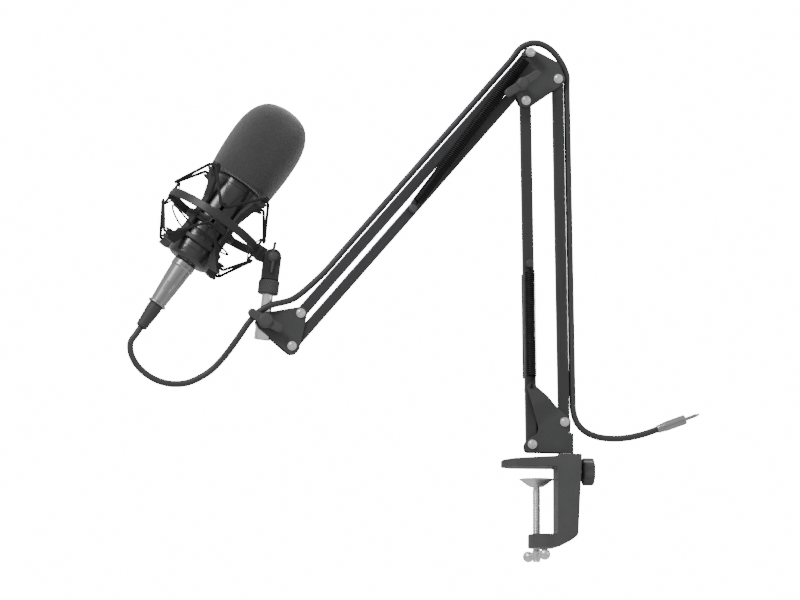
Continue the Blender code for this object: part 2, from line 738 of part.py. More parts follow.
def build_microphone():
    place = mic_frame()
    at = origin(RING)
    inner = BODY_R - 1.8
    body = [(inner, BASE_TOP + GAP), (BODY_R, BASE_TOP + GAP), (BODY_R, BODY_TOP),
            (inner, BODY_TOP)]
    emit("mic_body", spin(body, WIDE), "mic_enamel", at, place)
    base = [(10.0, BASE_END), (21.0, BASE_END), (BODY_R, BASE_END + 2.0), (BODY_R, BASE_TOP),
            (17.5, BASE_TOP), (17.5, BASE_TOP - 5.0), (10.0, BASE_TOP - 6.0)]
    emit("mic_base_ring", spin(base, WIDE), "mic_enamel", at, place)
    low = BODY_TOP + GAP
    outer = [(22.0, low), (22.0, 98.0), (19.8, 109.0), (12.6, 118.4), (0, 122.0)]
    inner = [(0, 120.8), (12.0, 117.3), (18.8, 108.4), (20.9, 98.0), (20.9, low)]
    emit("head_basket", spin(inner + outer, 20), "basket_mesh", at, place)
    foam = [(22.4, low), (34.5, low), (36.2, 66.0), (36.7, 88.0), (35.4, 104.0), (31.0, 118.0),
            (22.8, 128.4), (11.8, 133.4), (0, 134.4), ]
    hollow = [(0, 122.5), (13.0, 119.0), (20.3, 109.3), (22.4, 98.0)]
    emit("foam_windscreen", spin(hollow + foam, WIDE), "foam", at, place)
    capsule = [(0, 41.0), (7.0, 41.0), (7.0, 44.0), (3.0, 46.0), (3.0, 72.0), (12.0, 74.0),
               (12.0, 90.0), (10.5, 91.5), (0, 91.5)]
    emit("capsule", spin(capsule), "brass", at, place)
    emit("circuit_board", box((-14.0, -0.8, -26.0), (14.0, 0.8, 38.0)), "board_green", at, place)
    socket = [(0, -50.6), (9.6, -50.6), (9.6, -34.4), (0, -34.4)]
    emit("xlr_socket", spin(socket), "connector_metal", at, place)
    plug = [(0, -51.0), (11.6, -51.0), (12.0, -52.0), (12.0, -57.5), (11.0, -58.4),
            (10.4, -72.0), (9.0, -90.0), (8.2, -99.0), (9.8, -99.8), (9.8, -101.6), (0, -101.6)]
    emit("xlr_plug", spin(plug, 20), "connector_metal", at, place)
    boot = [(0, -102.0), (7.6, -102.0), (7.6, -108.0), (6.4, -120.0), (6.0, -128.6),
            (5.4, -129.2), (0, -129.2)]
    emit("xlr_boot", spin(boot), "cable_rubber", at, place)


# ---------------------------------------------------------------- cable

def cable_guides():
    """Hand-chosen route points of the whole cable, from the boot to the plug, as (x, y, z)."""
    boot = mic_frame() @ Vector((0, 0, -129.5))
    ahead = mic_frame() @ Vector((0, 0, -137.0))
    loop = [(-406.4, 0, 121.5), (-405.9, 0, 110.4), (-400.2, 0, 99.2), (-391.3, 0, 90.4),
            (-381.1, 0, 84.3), (-369.9, 0, 80.9), (-360.5, 0, 80.2), (-350.5, 0, 81.4),
            (-339.2, 0, 85.9), (-327.0, -1, 93.6), (-316.8, -3.5, 103.6), (-307.0, -7, 116.0),
            (-297.5, -10.5, 129.6), (-288.5, -12, 142.6), (-278.3, -12.2, 153.0),
            (-266.5, -12.2, 159.2), (-255.5, -9.5, 162.2), (-246.6, -4.5, 165.4),
            (-238.3, -1, 170.8)]
    side = Vector((UPPER[1], -UPPER[0])).normalized() * BAR_OFFSET
    up = []
    for t in (0.87, 0.78, 0.6, 0.4, 0.2, 0.1, 0.045):
        p = E3 + UPPER * t + side
        up.append((p[0], 0, p[1]))
    elbow = [(-15.3, 0, 423.2), (-6.6, 0, 428.2), (3.0, 0, 428.8), (11.5, 0, 425.6),
             (18.5, 0, 420.0), (24.4, 0, 412.6),
             (29.0, 0, 404.2), (31.9, 0, 395.2)]
    down = []
    for t in (0.985, 0.955, 0.8, 0.6, 0.4, 0.2, 0.07):
        p = B2 + LOWER * t
        down.append((p[0] + BAR_OFFSET, 0, p[1]))
    tail = [(37.4, 0, 56.5), (41.4, 0, 45.0), (49.2, 0, 36.8), (60.2, 0, 31.9), (71.5, 0, 30.0),
            (82.5, 0, 29.9), (95.0, 0, 31.4), (108.8, 0, 34.8), (122.6, 0, 39.7)]
    return [tuple(boot), tuple(ahead)] + loop + up + elbow + down + tail


def through(points, per=24):
    """Dense centripetal spline through the points."""
    pts = [Vector(p) for p in points]
    pts = [pts[0] * 2 - pts[1]] + pts + [pts[-1] * 2 - pts[-2]]
    out = []
    for k in range(1, len(pts) - 2):
        p0, p1, p2, p3 = pts[k - 1:k + 3]
        t0 = 0.0
        t1 = t0 + (p1 - p0).length ** 0.5
        t2 = t1 + (p2 - p1).length ** 0.5
        t3 = t2 + (p3 - p2).length ** 0.5
        for j in range(per):
            t = t1 + (t2 - t1) * j / per
            a1 = p0 * ((t1 - t) / (t1 - t0)) + p1 * ((t - t0) / (t1 - t0))
            a2 = p1 * ((t2 - t) / (t2 - t1)) + p2 * ((t - t1) / (t2 - t1))
            a3 = p2 * ((t3 - t) / (t3 - t2)) + p3 * ((t - t2) / (t3 - t2))
            b1 = a1 * ((t2 - t) / (t2 - t0)) + a2 * ((t - t0) / (t2 - t0))
            b2 = a2 * ((t3 - t) / (t3 - t1)) + a3 * ((t - t1) / (t3 - t1))
            out.append(b1 * ((t2 - t) / (t2 - t1)) + b2 * ((t - t1) / (t2 - t1)))
    out.append(pts[-2])
    return out


def arc_table(path):
    marks = [0.0]
    for a, b in zip(path, path[1:]):
        marks.append(marks[-1] + (b - a).length)
    return marks


def at_arc(path, marks, s):
    k = 0
    while k < len(marks) - 2 and marks[k + 1] < s:
        k += 1
    f = (s - marks[k]) / (marks[k + 1] - marks[k])
    return path[k].lerp(path[k + 1], min(1.0, max(0.0, f)))


def nearest_arc(path, marks, point):
    target = origin(point)
    best = min(range(len(path)), key=lambda k: (path[k] - target).length)
    return marks[best]


def cord_node(name, points, at):
    data = bpy.data.curves.new(name, "CURVE")
    data.dimensions = "3D"
    data.bevel_depth = CABLE_R * MM
    data.bevel_resolution = 2
    data.use_fill_caps = True
    line = data.splines.new("POLY")
    line.points.add(len(points) - 1)
    for p, co in zip(line.points, points):
        p.co = (*((co - at) * MM), 1.0)
    data.materials.append(material("cable_rubber"))
    return link(name, data, at)


def build_cable():
    path = through(cable_guides())
    marks = arc_table(path)
    side = Vector((UPPER[1], -UPPER[0])).normalized() * BAR_OFFSET
    breaks = [0.0, nearest_arc(path, marks, A - UPPER * 0.11 + side),
              nearest_arc(path, marks, E3 + UPPER * 0.1 + side),
              nearest_arc(path, marks, E2 - LOWER * 0.06 + Vector((BAR_OFFSET, 0))),
              nearest_arc(path, marks, B2 + LOWER * 0.085 + Vector((BAR_OFFSET, 0))), marks[-1]]
    names = ["cable_loop", "cable_upper", "cable_elbow", "cable_lower", "cable_tail"]
    pivots = [origin(A), origin(E3), origin(E2), origin(B2), Vector((SWIVEL_X, 0, 0))]
    for name, at, low, high in zip(names, pivots, breaks, breaks[1:]):
        low += GAP / 2
        high -= GAP / 2
        step = STRAIGHT_STEP if name in ("cable_upper", "cable_lower") else CABLE_STEP
        count = max(2, round((high - low) / step))
        spots = [low + (high - low) * k / count for k in range(count + 1)]
        cord_node(name, [at_arc(path, marks, s) for s in spots], at)
    end = path[-1]
    run = (path[-1] - path[-12]).normalized()
    place = Matrix.Translation(end) @ run.to_track_quat("Z", "Y").to_matrix().to_4x4()
    plug = [(0, GAP), (4.2, GAP), (4.8, 6.0), (5.0, 12.0), (5.0, 29.0), (4.4, 30.0),
            (1.75, 30.0), (1.75, 41.5), (1.1, 42.6), (1.5, 43.6), (0.5, 45.0), (0, 45.0)]
    emit("jack_plug", spin(plug, 12), "connector_metal", Vector((SWIVEL_X, 0, 0)), place)


def main():
    clear_scene()
    build_clamp()
    build_turntable()
    build_lower_arm()
    build_elbow()
    build_upper_arm()
    build_head()
    build_post()
    build_shock_ring()
    build_cradle()
    build_microphone()
    build_cable()


main()
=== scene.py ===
"""Looks of the condenser microphone, its shock mount, spring arm, desk clamp and cable.

Lengths are millimetres until a mesh is placed. X runs along the side view, Y away from the front,
Z is up, and the origin is the clamp screw's axis at the underside of the top jaw.
"""
from math import atan2, cos, degrees, hypot, pi, radians, sin, tau

import bmesh
import bpy
from mathutils import Matrix, Vector, noise
from mathutils.geometry import delaunay_2d_cdt


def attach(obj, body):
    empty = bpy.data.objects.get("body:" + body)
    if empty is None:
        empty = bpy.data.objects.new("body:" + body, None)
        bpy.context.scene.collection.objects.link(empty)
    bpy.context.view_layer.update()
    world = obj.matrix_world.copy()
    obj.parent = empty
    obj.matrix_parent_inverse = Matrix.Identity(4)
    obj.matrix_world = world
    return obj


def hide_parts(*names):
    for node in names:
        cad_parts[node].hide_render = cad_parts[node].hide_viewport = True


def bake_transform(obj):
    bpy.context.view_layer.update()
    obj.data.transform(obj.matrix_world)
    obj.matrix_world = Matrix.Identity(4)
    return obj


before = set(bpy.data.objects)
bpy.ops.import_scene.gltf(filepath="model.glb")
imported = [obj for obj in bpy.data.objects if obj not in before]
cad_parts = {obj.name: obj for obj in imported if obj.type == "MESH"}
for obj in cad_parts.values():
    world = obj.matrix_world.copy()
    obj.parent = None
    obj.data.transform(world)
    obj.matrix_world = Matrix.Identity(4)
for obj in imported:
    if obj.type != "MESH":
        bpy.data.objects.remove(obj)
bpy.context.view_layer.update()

MM = 0.001
GAP = 0.3

# arm pivots, in the XZ plane
B1 = Vector((-5.0, 22.7))
B2 = Vector((27.7, 45.3))
LOWER = Vector((-5.45, 346.6))
E1 = B1 + LOWER
E2 = B2 + LOWER
E3 = Vector((-7.4, 416.6))
E4 = Vector((-16.2, 383.6))
UPPER = Vector((-229.8, -264.8))
A = E3 + UPPER
B = E4 + UPPER
W = Vector((-273.2, 143.0))
LOWER_STUD = B1 + LOWER * (180.8 / LOWER.length)
UPPER_STUD = E4 + UPPER * (167.0 / UPPER.length)
TAB_EYE = Vector((-6.4, 79.4))
BAR_HALF = 5.5
PLATE_IN = 6.1
PLATE_OUT = 8.0
PLATE_FACE = PLATE_OUT + GAP
PLATE_HOLE = 2.8
BOLT_R = 2.5

# clamp and base
DEPTH = 19.0
WRAP_LOW = 14.5
WRAP_HIGH = 34.5
SWIVEL_X = 29.5
SWIVEL_R = 5.8
SCREW_R = 4.0
THREAD = 1.5
KNOB_Z = -3.7
TOMMY_Z = -88.0

# post, clevis and collar
POST_LEAN = 7.0
STUD_R = 5.7
COLLAR_LOW = 28.05
COLLAR_HIGH = 42.55
CLEVIS_HALF = 8.75
CLEVIS_Y = 8.4
EAR_IN = 4.25
PIVOT_RISE = 65.2

# shock mount and microphone, in the microphone's own frame
RING = Vector((-324.1, 243.8))
MIC_LEAN = 34.0
BODY_R = 22.8
PEG_OUT = 51.6
HOOK_OUT = 43.0
ELASTIC_R = 1.5

# cable
CABLE_R = 3.25
BAR_OFFSET = 9.4


# ---------------------------------------------------------------- frames and outlines

def flat(point):
    """A point of the XZ plane in 3D."""
    return Vector((point[0], 0.0, point[1]))


def rotation(degrees_, axis):
    return Matrix.Rotation(radians(degrees_), 4, axis)


def shift(x, y, z):
    return Matrix.Translation((x, y, z))


def lean(point, angle):
    """Frame at an XZ point, its Z axis leaning to +X by an angle in degrees."""
    return Matrix.Translation(flat(point)) @ rotation(angle, "Y")


def facing(point, turn=0.0):
    """Frame at an XZ point, its Z axis towards the front."""
    return lean(point, -turn) @ rotation(90, "X")


def along(start, end):
    """Frame at start with its Z axis towards end."""
    run = end - start
    return lean(start, degrees(atan2(run[0], run[1])))


MIC_FRAME = lean(RING, MIC_LEAN)
POST_FRAME = lean(W, POST_LEAN)
TILT_PIVOT = (POST_FRAME @ Vector((0, 0, PIVOT_RISE))).xz


def circle(centre, r, n=24, start=0.0, end=360.0):
    whole = abs(end - start) >= 360.0
    steps = n if whole else n - 1
    angles = [radians(start + (end - start) * k / steps) for k in range(n)]
    return [(centre[0] + r * cos(a), centre[1] + r * sin(a)) for a in angles]


def arc_points(*args):
    """Outline entries along an arc that rounding leaves as they are."""
    return [(x, z, 0) for x, z in circle(*args)]


def turn_of(o, a, b):
    return (a[0] - o[0]) * (b[1] - o[1]) - (a[1] - o[1]) * (b[0] - o[0])


def hull_of(circles, n=60):
    """Outline round several circles."""
    points = sorted(set((round(x, 6), round(z, 6)) for c, r in circles for x, z in circle(c, r, n)))
    sides = []
    for run in (points, points[::-1]):
        side = []
        for p in run:
            while len(side) > 1 and turn_of(side[-2], side[-1], p) <= 1e-9:
                side.pop()
            side.append(p)
        sides += side[:-1]
    return sides


def corner(first, here, last, n):
    """Quadratic curve from first to last, drawn towards here."""
    steps = [j / n for j in range(n + 1)]
    return [first.lerp(here, t).lerp(here.lerp(last, t), t) for t in steps]


def rounded(points, radius, n=6):
    """Outline with its corners rounded; a point may carry its own radius."""
    out = []
    count = len(points)
    for k, p in enumerate(points):
        r = p[2] if len(p) > 2 else radius
        here = Vector(p[:2])
        back = Vector(points[k - 1][:2]) - here
        ahead = Vector(points[(k + 1) % count][:2]) - here
        angle = back.angle(ahead) if r > 0 else pi
        if angle > pi - 0.05:
            out.append(tuple(here))
            continue
        reach = min(r / max(1e-6, abs(sin(angle / 2) / cos(angle / 2))), back.length * 0.48,
                    ahead.length * 0.48)
        first = here + back.normalized() * reach
        last = here + ahead.normalized() * reach
        out += [tuple(p) for p in corner(first, here, last, n)]
    return out


def dense(points, step):
    """The same outline with points at most a step apart."""
    out = []
    for a, b in zip(points, points[1:] + points[:1]):
        count = max(1, int(hypot(b[0] - a[0], b[1] - a[1]) / step + 0.999))
        for k in range(count):
            out.append((a[0] + (b[0] - a[0]) * k / count, a[1] + (b[1] - a[1]) * k / count))
    return out


def inside(p, loops):
    odd = False
    for loop in loops:
        for a, b in zip(loop, loop[1:] + loop[:1]):
            if (a[1] > p[1]) != (b[1] > p[1]):
                if p[0] < a[0] + (b[0] - a[0]) * (p[1] - a[1]) / (b[1] - a[1]):
                    odd = not odd
    return odd


def area(loop):
    return sum(a[0] * b[1] - b[0] * a[1] for a, b in zip(loop, loop[1:] + loop[:1])) / 2


def inset(loop, depth):
    """Loop moved to its left by a depth, corners mitred."""
    out = []
    count = len(loop)
    for k in range(count):
        p, q, r = Vector(loop[k - 1]), Vector(loop[k]), Vector(loop[(k + 1) % count])
        a, b = (q - p), (r - q)
        if a.length < 1e-9 or b.length < 1e-9:
            out.append(tuple(q))
            continue
        a.normalize()
        b.normalize()
        na, nb = Vector((-a.y, a.x)), Vector((-b.y, b.x))
        mid = na + nb
        if mid.length < 1e-6:
            out.append(tuple(q))
            continue
        mid.normalize()
        out.append(tuple(q + mid * (depth / max(0.35, mid.dot(nb)))))
    return out


# ---------------------------------------------------------------- mesh makers

def join_rows(bm, low, high):
    count = max(len(low), len(high))
    for k in range(count):
        n = (k + 1) % count
        if len(low) == 1:
            bm.faces.new((low[0], high[n], high[k]))
        elif len(high) == 1:
            bm.faces.new((low[k], low[n], high[0]))
        else:
            bm.faces.new((low[k], low[n], high[n], high[k]))


def loft(bm, rows, closed=False):
    """Faces from each row to the next, and from the last to the first if closed."""
    for low, high in zip(rows, rows[1:] + rows[:1] if closed else rows[1:]):
        join_rows(bm, low, high)


def lathe_row(bm, entry, angles, shape=None):
    """Ring of vertices at a (radius, z) entry, or a single one on the axis."""
    if entry[0] == 0:
        return [bm.verts.new((0, 0, entry[1]))]
    radii = [entry[0] * (shape(a) if len(entry) > 2 else 1.0) for a in angles]
    return [bm.verts.new((r * cos(a), r * sin(a), entry[1])) for r, a in zip(radii, angles)]


def spin(profile, seg=48, shape=None, angles=None):
    """Solid of revolution about Z from (radius, z) entries.

    An entry (factor, z, True) follows shape(angle) times factor. A profile that doesn't start on
    the axis closes on itself and makes a ring.
    """
    bm = bmesh.new()
    angles = angles or [tau * k / seg for k in range(seg)]
    rows = [lathe_row(bm, entry, angles, shape) for entry in profile]
    loft(bm, rows, len(rows[0]) > 1)
    return bm


def lathe(points, seg, radius, n=3):
    """Solid of revolution with rounded corners."""
    return spin(soft_profile(points, radius, n), seg)


def soft_profile(points, radius=0.5, n=3):
    """Lathe profile with rounded corners; the ends on the axis stay."""
    out = [points[0]]
    closed = points[0][0] != 0
    count = len(points)
    for k in range(count) if closed else range(1, count - 1):
        p = points[k]
        here = Vector(p[:2])
        back = Vector(points[k - 1][:2]) - here
        ahead = Vector(points[(k + 1) % count][:2]) - here
        r = p[2] if len(p) > 2 else radius
        if r <= 0 or back.length < 1e-6 or ahead.length < 1e-6 or back.angle(ahead) > pi - 0.09:
            out.append(tuple(here))
            continue
        reach = min(r, back.length * 0.46, ahead.length * 0.46)
        first = here + back.normalized() * reach
        last = here + ahead.normalized() * reach
        out += [tuple(p) for p in corner(first, here, last, n)]
    return out[1:] if closed else out + [points[-1]]


def sheet_faces(loops, spots=()):
    """Triangles over an outline with holes, through extra spots inside it."""
    points, edges = [], []
    for loop in loops:
        first = len(points)
        points += [Vector(p) for p in loop]
        edges += [(first + i, first + (i + 1) % len(loop)) for i in range(len(loop))]
    points += [Vector(p) for p in spots]
    verts, _, faces, origin = delaunay_2d_cdt(points, edges, [], 0, 1e-7)[:4]
    centre = lambda face: sum((verts[i] for i in face), Vector((0, 0))) / len(face)
    return verts, [face for face in faces if inside(centre(face), loops)], origin


def spots_inside(rims, outline, grid):
    """Points on a square grid that lie inside the rims, clear of their corners."""
    spots = []
    xs, zs = [p[0] for p in outline], [p[1] for p in outline]
    x = min(xs) + grid / 2
    while x < max(xs):
        z = min(zs) + grid / 2
        while z < max(zs):
            if inside((x, z), rims):
                near = min(hypot(x - p[0], z - p[1]) for rim in rims for p in rim)
                if near > grid * 0.5:
                    spots.append((x, z))
            z += grid
        x += grid
    return spots


def slab(loops, low, high, edge=0.4, steps=3, grid=None):
    """Solid over an XZ region between two Y surfaces, with rounded edges.

    low and high may be functions of (x, z). The first loop is the outline and the others are
    holes. grid is the spacing of extra points on curved faces.
    """
    bm = bmesh.new()
    loops = [list(loop) if (area(loop) > 0) == (k == 0) else list(loop)[::-1]
             for k, loop in enumerate(loops)]
    low_y = low if callable(low) else (lambda x, z: low)
    high_y = high if callable(high) else (lambda x, z: high)
    rims = [inset(loop, edge) for loop in loops]
    spots = spots_inside(rims, loops[0], grid) if grid else []
    verts, faces, origin = sheet_faces(rims, spots)
    caps = []
    for level in (low_y, high_y):
        made = {}
        for i in sorted(set(i for f in faces for i in f)):
            x, z = verts[i]
            made[i] = bm.verts.new((x, level(x, z), z))
        caps.append(made)
    for f in faces:
        bm.faces.new([caps[0][i] for i in f])
        bm.faces.new([caps[1][i] for i in reversed(f)])
    where = {}
    for i, sources in enumerate(origin):
        for s in sources:
            where[s] = i
    first = 0
    for loop in loops:
        count = len(loop)
        rows = [[caps[0].get(where[first + k]) for k in range(count)]]
        down = range(1, steps + 1)
        for sign, level, turns in ((1, low_y, down), (-1, high_y, down[::-1])):
            for j in turns:
                a = (pi / 2) * j / steps
                ring = inset(loop, edge * (1 - sin(a)))
                rise = edge * (1 - cos(a))
                rows.append([bm.verts.new((x, level(*loop[k]) + sign * rise, z))
                             for k, (x, z) in enumerate(ring)])
        rows.append([caps[1].get(where[first + k]) for k in range(count)])
        loft(bm, rows)
        first += count
    return bm


def box(low, high, edge=0.3):
    loop = [(low[0], low[2]), (high[0], low[2]), (high[0], high[2]), (low[0], high[2])]
    return slab([loop], low[1], high[1], edge)


def mesh_from(name, bm):
    mesh = bpy.data.meshes.new(name)
    bm.to_mesh(mesh)
    bm.free()
    return mesh


def linked(name, data):
    obj = bpy.data.objects.new(name, data)
    bpy.context.scene.collection.objects.link(obj)
    return obj


def merge(*parts):
    """Several separate closed meshes in one bmesh."""
    bm = bmesh.new()
    for part in parts:
        mesh = mesh_from("part", part)
        bm.from_mesh(mesh)
        bpy.data.meshes.remove(mesh)
    return bm


def moved(bm, place):
    bm.transform(place)
    return bm


def carve(bm, cuts, operation="DIFFERENCE"):
    """bm after exact Booleans with the cutting meshes."""
    def temp(part):
        bmesh.ops.recalc_face_normals(part, faces=part.faces)
        return linked("temp", mesh_from("temp", part))

    made = [temp(bm)]
    for other in cuts:
        made.append(temp(other))
        mod = made[0].modifiers.new("cut", "BOOLEAN")
        mod.operation = operation
        mod.solver = "EXACT"
        mod.object = made[-1]
    graph = bpy.context.evaluated_depsgraph_get()
    out = bmesh.new()
    out.from_mesh(made[0].evaluated_get(graph).data)
    for obj in made:
        mesh = obj.data
        bpy.data.objects.remove(obj, do_unlink=True)
        bpy.data.meshes.remove(mesh)
    bmesh.ops.remove_doubles(out, verts=out.verts, dist=0.002)
    return out


def arc_marks(path):
    marks = [0.0]
    for a, b in zip(path, path[1:]):
        marks.append(marks[-1] + (b - a).length)
    return marks


def sweep(points, r, sides, closed=False, first_up=Vector((0, 1, 0)), tangents=None):
    """Tube along points, its section carried without twist.

    UV holds the arc length in metres and the turn round the tube. tangents are those of the two
    ends, where the line goes on in another piece.
    """
    bm = bmesh.new()
    uv = bm.loops.layers.uv.new("UVMap")
    count = len(points)
    arc = arc_marks(points)
    rows = []
    up = None
    for k, p in enumerate(points):
        ahead = points[(k + 1) % count] if closed or k + 1 < count else p
        behind = points[k - 1] if closed or k > 0 else p
        t = (ahead - behind).normalized()
        if tangents and k in (0, count - 1):
            t = tangents[0 if k == 0 else 1].normalized()
        if up is None:
            up = first_up if abs(t.dot(first_up)) < 0.9 else Vector((1, 0, 0))
        up = (up - t * up.dot(t)).normalized()
        side = t.cross(up)
        rows.append([bm.verts.new(p + side * (r * cos(tau * j / sides))
                                  + up * (r * sin(tau * j / sides))) for j in range(sides)])
    for k in range(count if closed else count - 1):
        n = (k + 1) % count
        twist = 0
        if closed and n == 0:
            gaps = [sum((rows[k][j].co - rows[0][(j + s) % sides].co).length for j in range(sides))
                    for s in range(sides)]
            twist = gaps.index(min(gaps))
        for j in range(sides):
            m = (j + 1) % sides
            face = bm.faces.new((rows[k][j], rows[k][m], rows[n][(m + twist) % sides],
                                 rows[n][(j + twist) % sides]))
            s0 = arc[k] * MM
            s1 = (arc[n] if n else arc[k] + 1.0) * MM
            for loop, co in zip(face.loops, ((s0, j), (s0, j + 1), (s1, j + 1), (s1, j))):
                loop[uv].uv = (co[0], co[1] / sides)
    if not closed:
        bm.faces.new(rows[0])
        bm.faces.new(rows[-1][::-1])
    return bm


def polar(azimuth, r, tangent, h):
    a = radians(azimuth)
    return Vector((cos(a) * r - sin(a) * tangent, sin(a) * r + cos(a) * tangent, h))


def through(points, per=24):
    """Dense centripetal spline through the points."""
    pts = [Vector(p) for p in points]
    pts = [pts[0] * 2 - pts[1]] + pts + [pts[-1] * 2 - pts[-2]]
    out = []
    for k in range(1, len(pts) - 2):
        p0, p1, p2, p3 = pts[k - 1:k + 3]
        t0 = 0.0
        t1 = (p1 - p0).length ** 0.5
        t2 = t1 + (p2 - p1).length ** 0.5
        t3 = t2 + (p3 - p2).length ** 0.5
        for j in range(per):
            t = t1 + (t2 - t1) * j / per
            part = lambda p, q, low, high: (p * ((high - t) / (high - low))
                                            + q * ((t - low) / (high - low)))
            a1, a2, a3 = part(p0, p1, t0, t1), part(p1, p2, t1, t2), part(p2, p3, t2, t3)
            out.append(part(part(a1, a2, t0, t2), part(a2, a3, t1, t3), t1, t2))
    return out + [pts[-2]]


# ---------------------------------------------------------------- materials

def node(tree, kind, inputs=None, **settings):
    """New shader node; an input is a socket to link or a value to set."""
    made = tree.nodes.new(kind)
    for key, value in settings.items():
        setattr(made, key, value)
    for key, value in (inputs or {}).items():
        if isinstance(value, bpy.types.NodeSocket):
            tree.links.new(value, made.inputs[key])
        else:
            made.inputs[key].default_value = value
    return made


def mixed(tree, factor, a, b):
    """Colour between a and b; each is a socket or a colour."""
    a, b = [(*c, 1.0) if isinstance(c, tuple) else c for c in (a, b)]
    return node(tree, "ShaderNodeMix", {0: factor, 6: a, 7: b}, data_type="RGBA").outputs[2]


def ranged(tree, socket, low, high, to_low, to_high):
    return node(tree, "ShaderNodeMapRange",
                {"Value": socket, "From Min": low, "From Max": high, "To Min": to_low,
                 "To Max": to_high}).outputs[0]


def maths(tree, operation, *values, clamp=False):
    return node(tree, "ShaderNodeMath", dict(enumerate(values)), operation=operation,
                use_clamp=clamp).outputs[0]


def crossed(tree, one, two):
    """Product of two sine waves."""
    return maths(tree, "MULTIPLY", maths(tree, "SINE", one), maths(tree, "SINE", two))


def scaled(color, k):
    return tuple(min(1.0, c * k) for c in color)


def edge_wear_and_highlight_mask(tree, radius):
    """1 on rounded edges, where wear and a painted highlight go, and 0 on open faces."""
    round_normal = node(tree, "ShaderNodeBevel", {"Radius": radius}, samples=4)
    true_normal = node(tree, "ShaderNodeNewGeometry").outputs["Normal"]
    dot = node(tree, "ShaderNodeVectorMath", {0: round_normal.outputs[0], 1: true_normal},
               operation="DOT_PRODUCT")
    return ranged(tree, dot.outputs["Value"], 1.0, 0.80, 0.0, 1.0)


def braid_height(tree, pitch, strands):
    """Crossed ridges along a tube, from its UV."""
    uv = node(tree, "ShaderNodeUVMap", uv_map="UVMap").outputs[0]
    parts = node(tree, "ShaderNodeSeparateXYZ", {0: uv})
    run = maths(tree, "MULTIPLY", parts.outputs[0], tau / pitch)
    turn = maths(tree, "MULTIPLY", parts.outputs[1], tau * strands)
    return crossed(tree, maths(tree, "ADD", run, turn), maths(tree, "SUBTRACT", run, turn))


def surface(name, color, metallic=0.0, rough=0.5, grain=900.0, depth=0.05, strength=0.35,
            vary=0.16, wear_and_highlight=0.0, wear_and_highlight_color=None, stretch=None, speck=0.0, pattern=None, **sockets):
    """Finish whose colour drifts, whose grain stands up, whose edges are lightened as wear and
    painted highlight, and whose pattern's grooves are darkened as painted shade.
    """
    made = bpy.data.materials.new(name)
    made.use_nodes = True
    tree = made.node_tree
    shader = tree.nodes["Principled BSDF"]
    shader.inputs["Metallic"].default_value = metallic
    for key, value in sockets.items():
        shader.inputs[key.replace("_", " ")].default_value = value
    place = node(tree, "ShaderNodeTexCoord").outputs["Object"]
    if stretch:
        place = node(tree, "ShaderNodeMapping", {"Vector": place, "Scale": stretch}).outputs[0]
    cloud = lambda scale, detail, roughness: node(
        tree, "ShaderNodeTexNoise", {"Vector": place, "Scale": scale, "Detail": detail,
                                     "Roughness": roughness}).outputs[0]
    broad = cloud(42.0, 4.0, 0.62)
    fine = cloud(grain, 3.0, 0.7)
    drift = ranged(tree, broad, 0.3, 0.7, 0.0, 1.0)
    tone = mixed(tree, drift, scaled(color, 1 - vary), scaled(color, 1 + vary))
    if speck:
        dots = ranged(tree, fine, 0.42, 0.66, 0.0, speck)
        tone = mixed(tree, dots, tone, scaled(color, 2.2))
    roughness = ranged(tree, broad, 0.3, 0.7, rough + 0.06, max(0.03, rough - 0.06))
    # edges lightened in colour: partly wear, partly painted highlight
    if wear_and_highlight:
        mask = edge_wear_and_highlight_mask(tree, 0.0009)
        patchy = ranged(tree, fine, 0.3, 0.62, 0.35, 1.0)
        mask = maths(tree, "MULTIPLY", maths(tree, "MULTIPLY", mask, patchy), wear_and_highlight, clamp=True)
        tone = mixed(tree, mask, tone, wear_and_highlight_color or scaled(color, 3.0))
    height = fine
    if pattern:
        height = maths(tree, "ADD", maths(tree, "MULTIPLY", pattern(tree), 0.8),
                       maths(tree, "MULTIPLY", fine, 0.3))
        # the pattern's grooves are darkened in colour: painted shade
        groove_shade = ranged(tree, height, -0.5, 0.5, 0.55, 0.0)
        tone = mixed(tree, groove_shade, tone, scaled(color, 0.3))
    tree.links.new(tone, shader.inputs["Base Color"])
    tree.links.new(roughness, shader.inputs["Roughness"])
    bump = node(tree, "ShaderNodeBump",
                {"Height": height, "Strength": strength, "Distance": depth * MM})
    tree.links.new(bump.outputs[0], shader.inputs["Normal"])
    return made


FOAM_GREY = (0.036, 0.036, 0.037)


def foam_material():
    """Open-cell foam: pores painted darker than the walls between them, as painted shade in the
    pits.
    """
    made = surface("foam_skin", FOAM_GREY, 0.0, 0.92, 1500.0, 0.3, 0.6, 0.12,
                   speck=0.35, Sheen_Weight=0.8, Sheen_Roughness=0.55)
    tree = made.node_tree
    shader = tree.nodes["Principled BSDF"]
    place = node(tree, "ShaderNodeTexCoord").outputs["Object"]
    cells = node(tree, "ShaderNodeTexVoronoi", {"Vector": place, "Scale": 1050.0})
    depth = cells.outputs["Distance"]
    # pores darkened in colour: painted shade
    pore_shade = ranged(tree, depth, 0.1, 0.65, 0.0, 1.0)
    old = shader.inputs["Base Color"].links[0].from_socket
    tree.links.new(mixed(tree, pore_shade, scaled(FOAM_GREY, 0.45), old), shader.inputs["Base Color"])
    bump = node(tree, "ShaderNodeBump",
                {"Height": depth, "Normal": shader.inputs["Normal"].links[0].from_socket,
                 "Strength": 0.8, "Distance": 0.35 * MM})
    tree.links.new(bump.outputs[0], shader.inputs["Normal"])
    return made


MESH_WAVES = 5200.0


def mesh_pattern(tree):
    """Woven wires of the head basket, from its place in the part."""
    place = node(tree, "ShaderNodeTexCoord").outputs["Object"]
    parts = node(tree, "ShaderNodeSeparateXYZ", {0: place})
    waves = [maths(tree, "MULTIPLY", parts.outputs[k], MESH_WAVES) for k in (0, 2)]
    return crossed(tree, *waves)
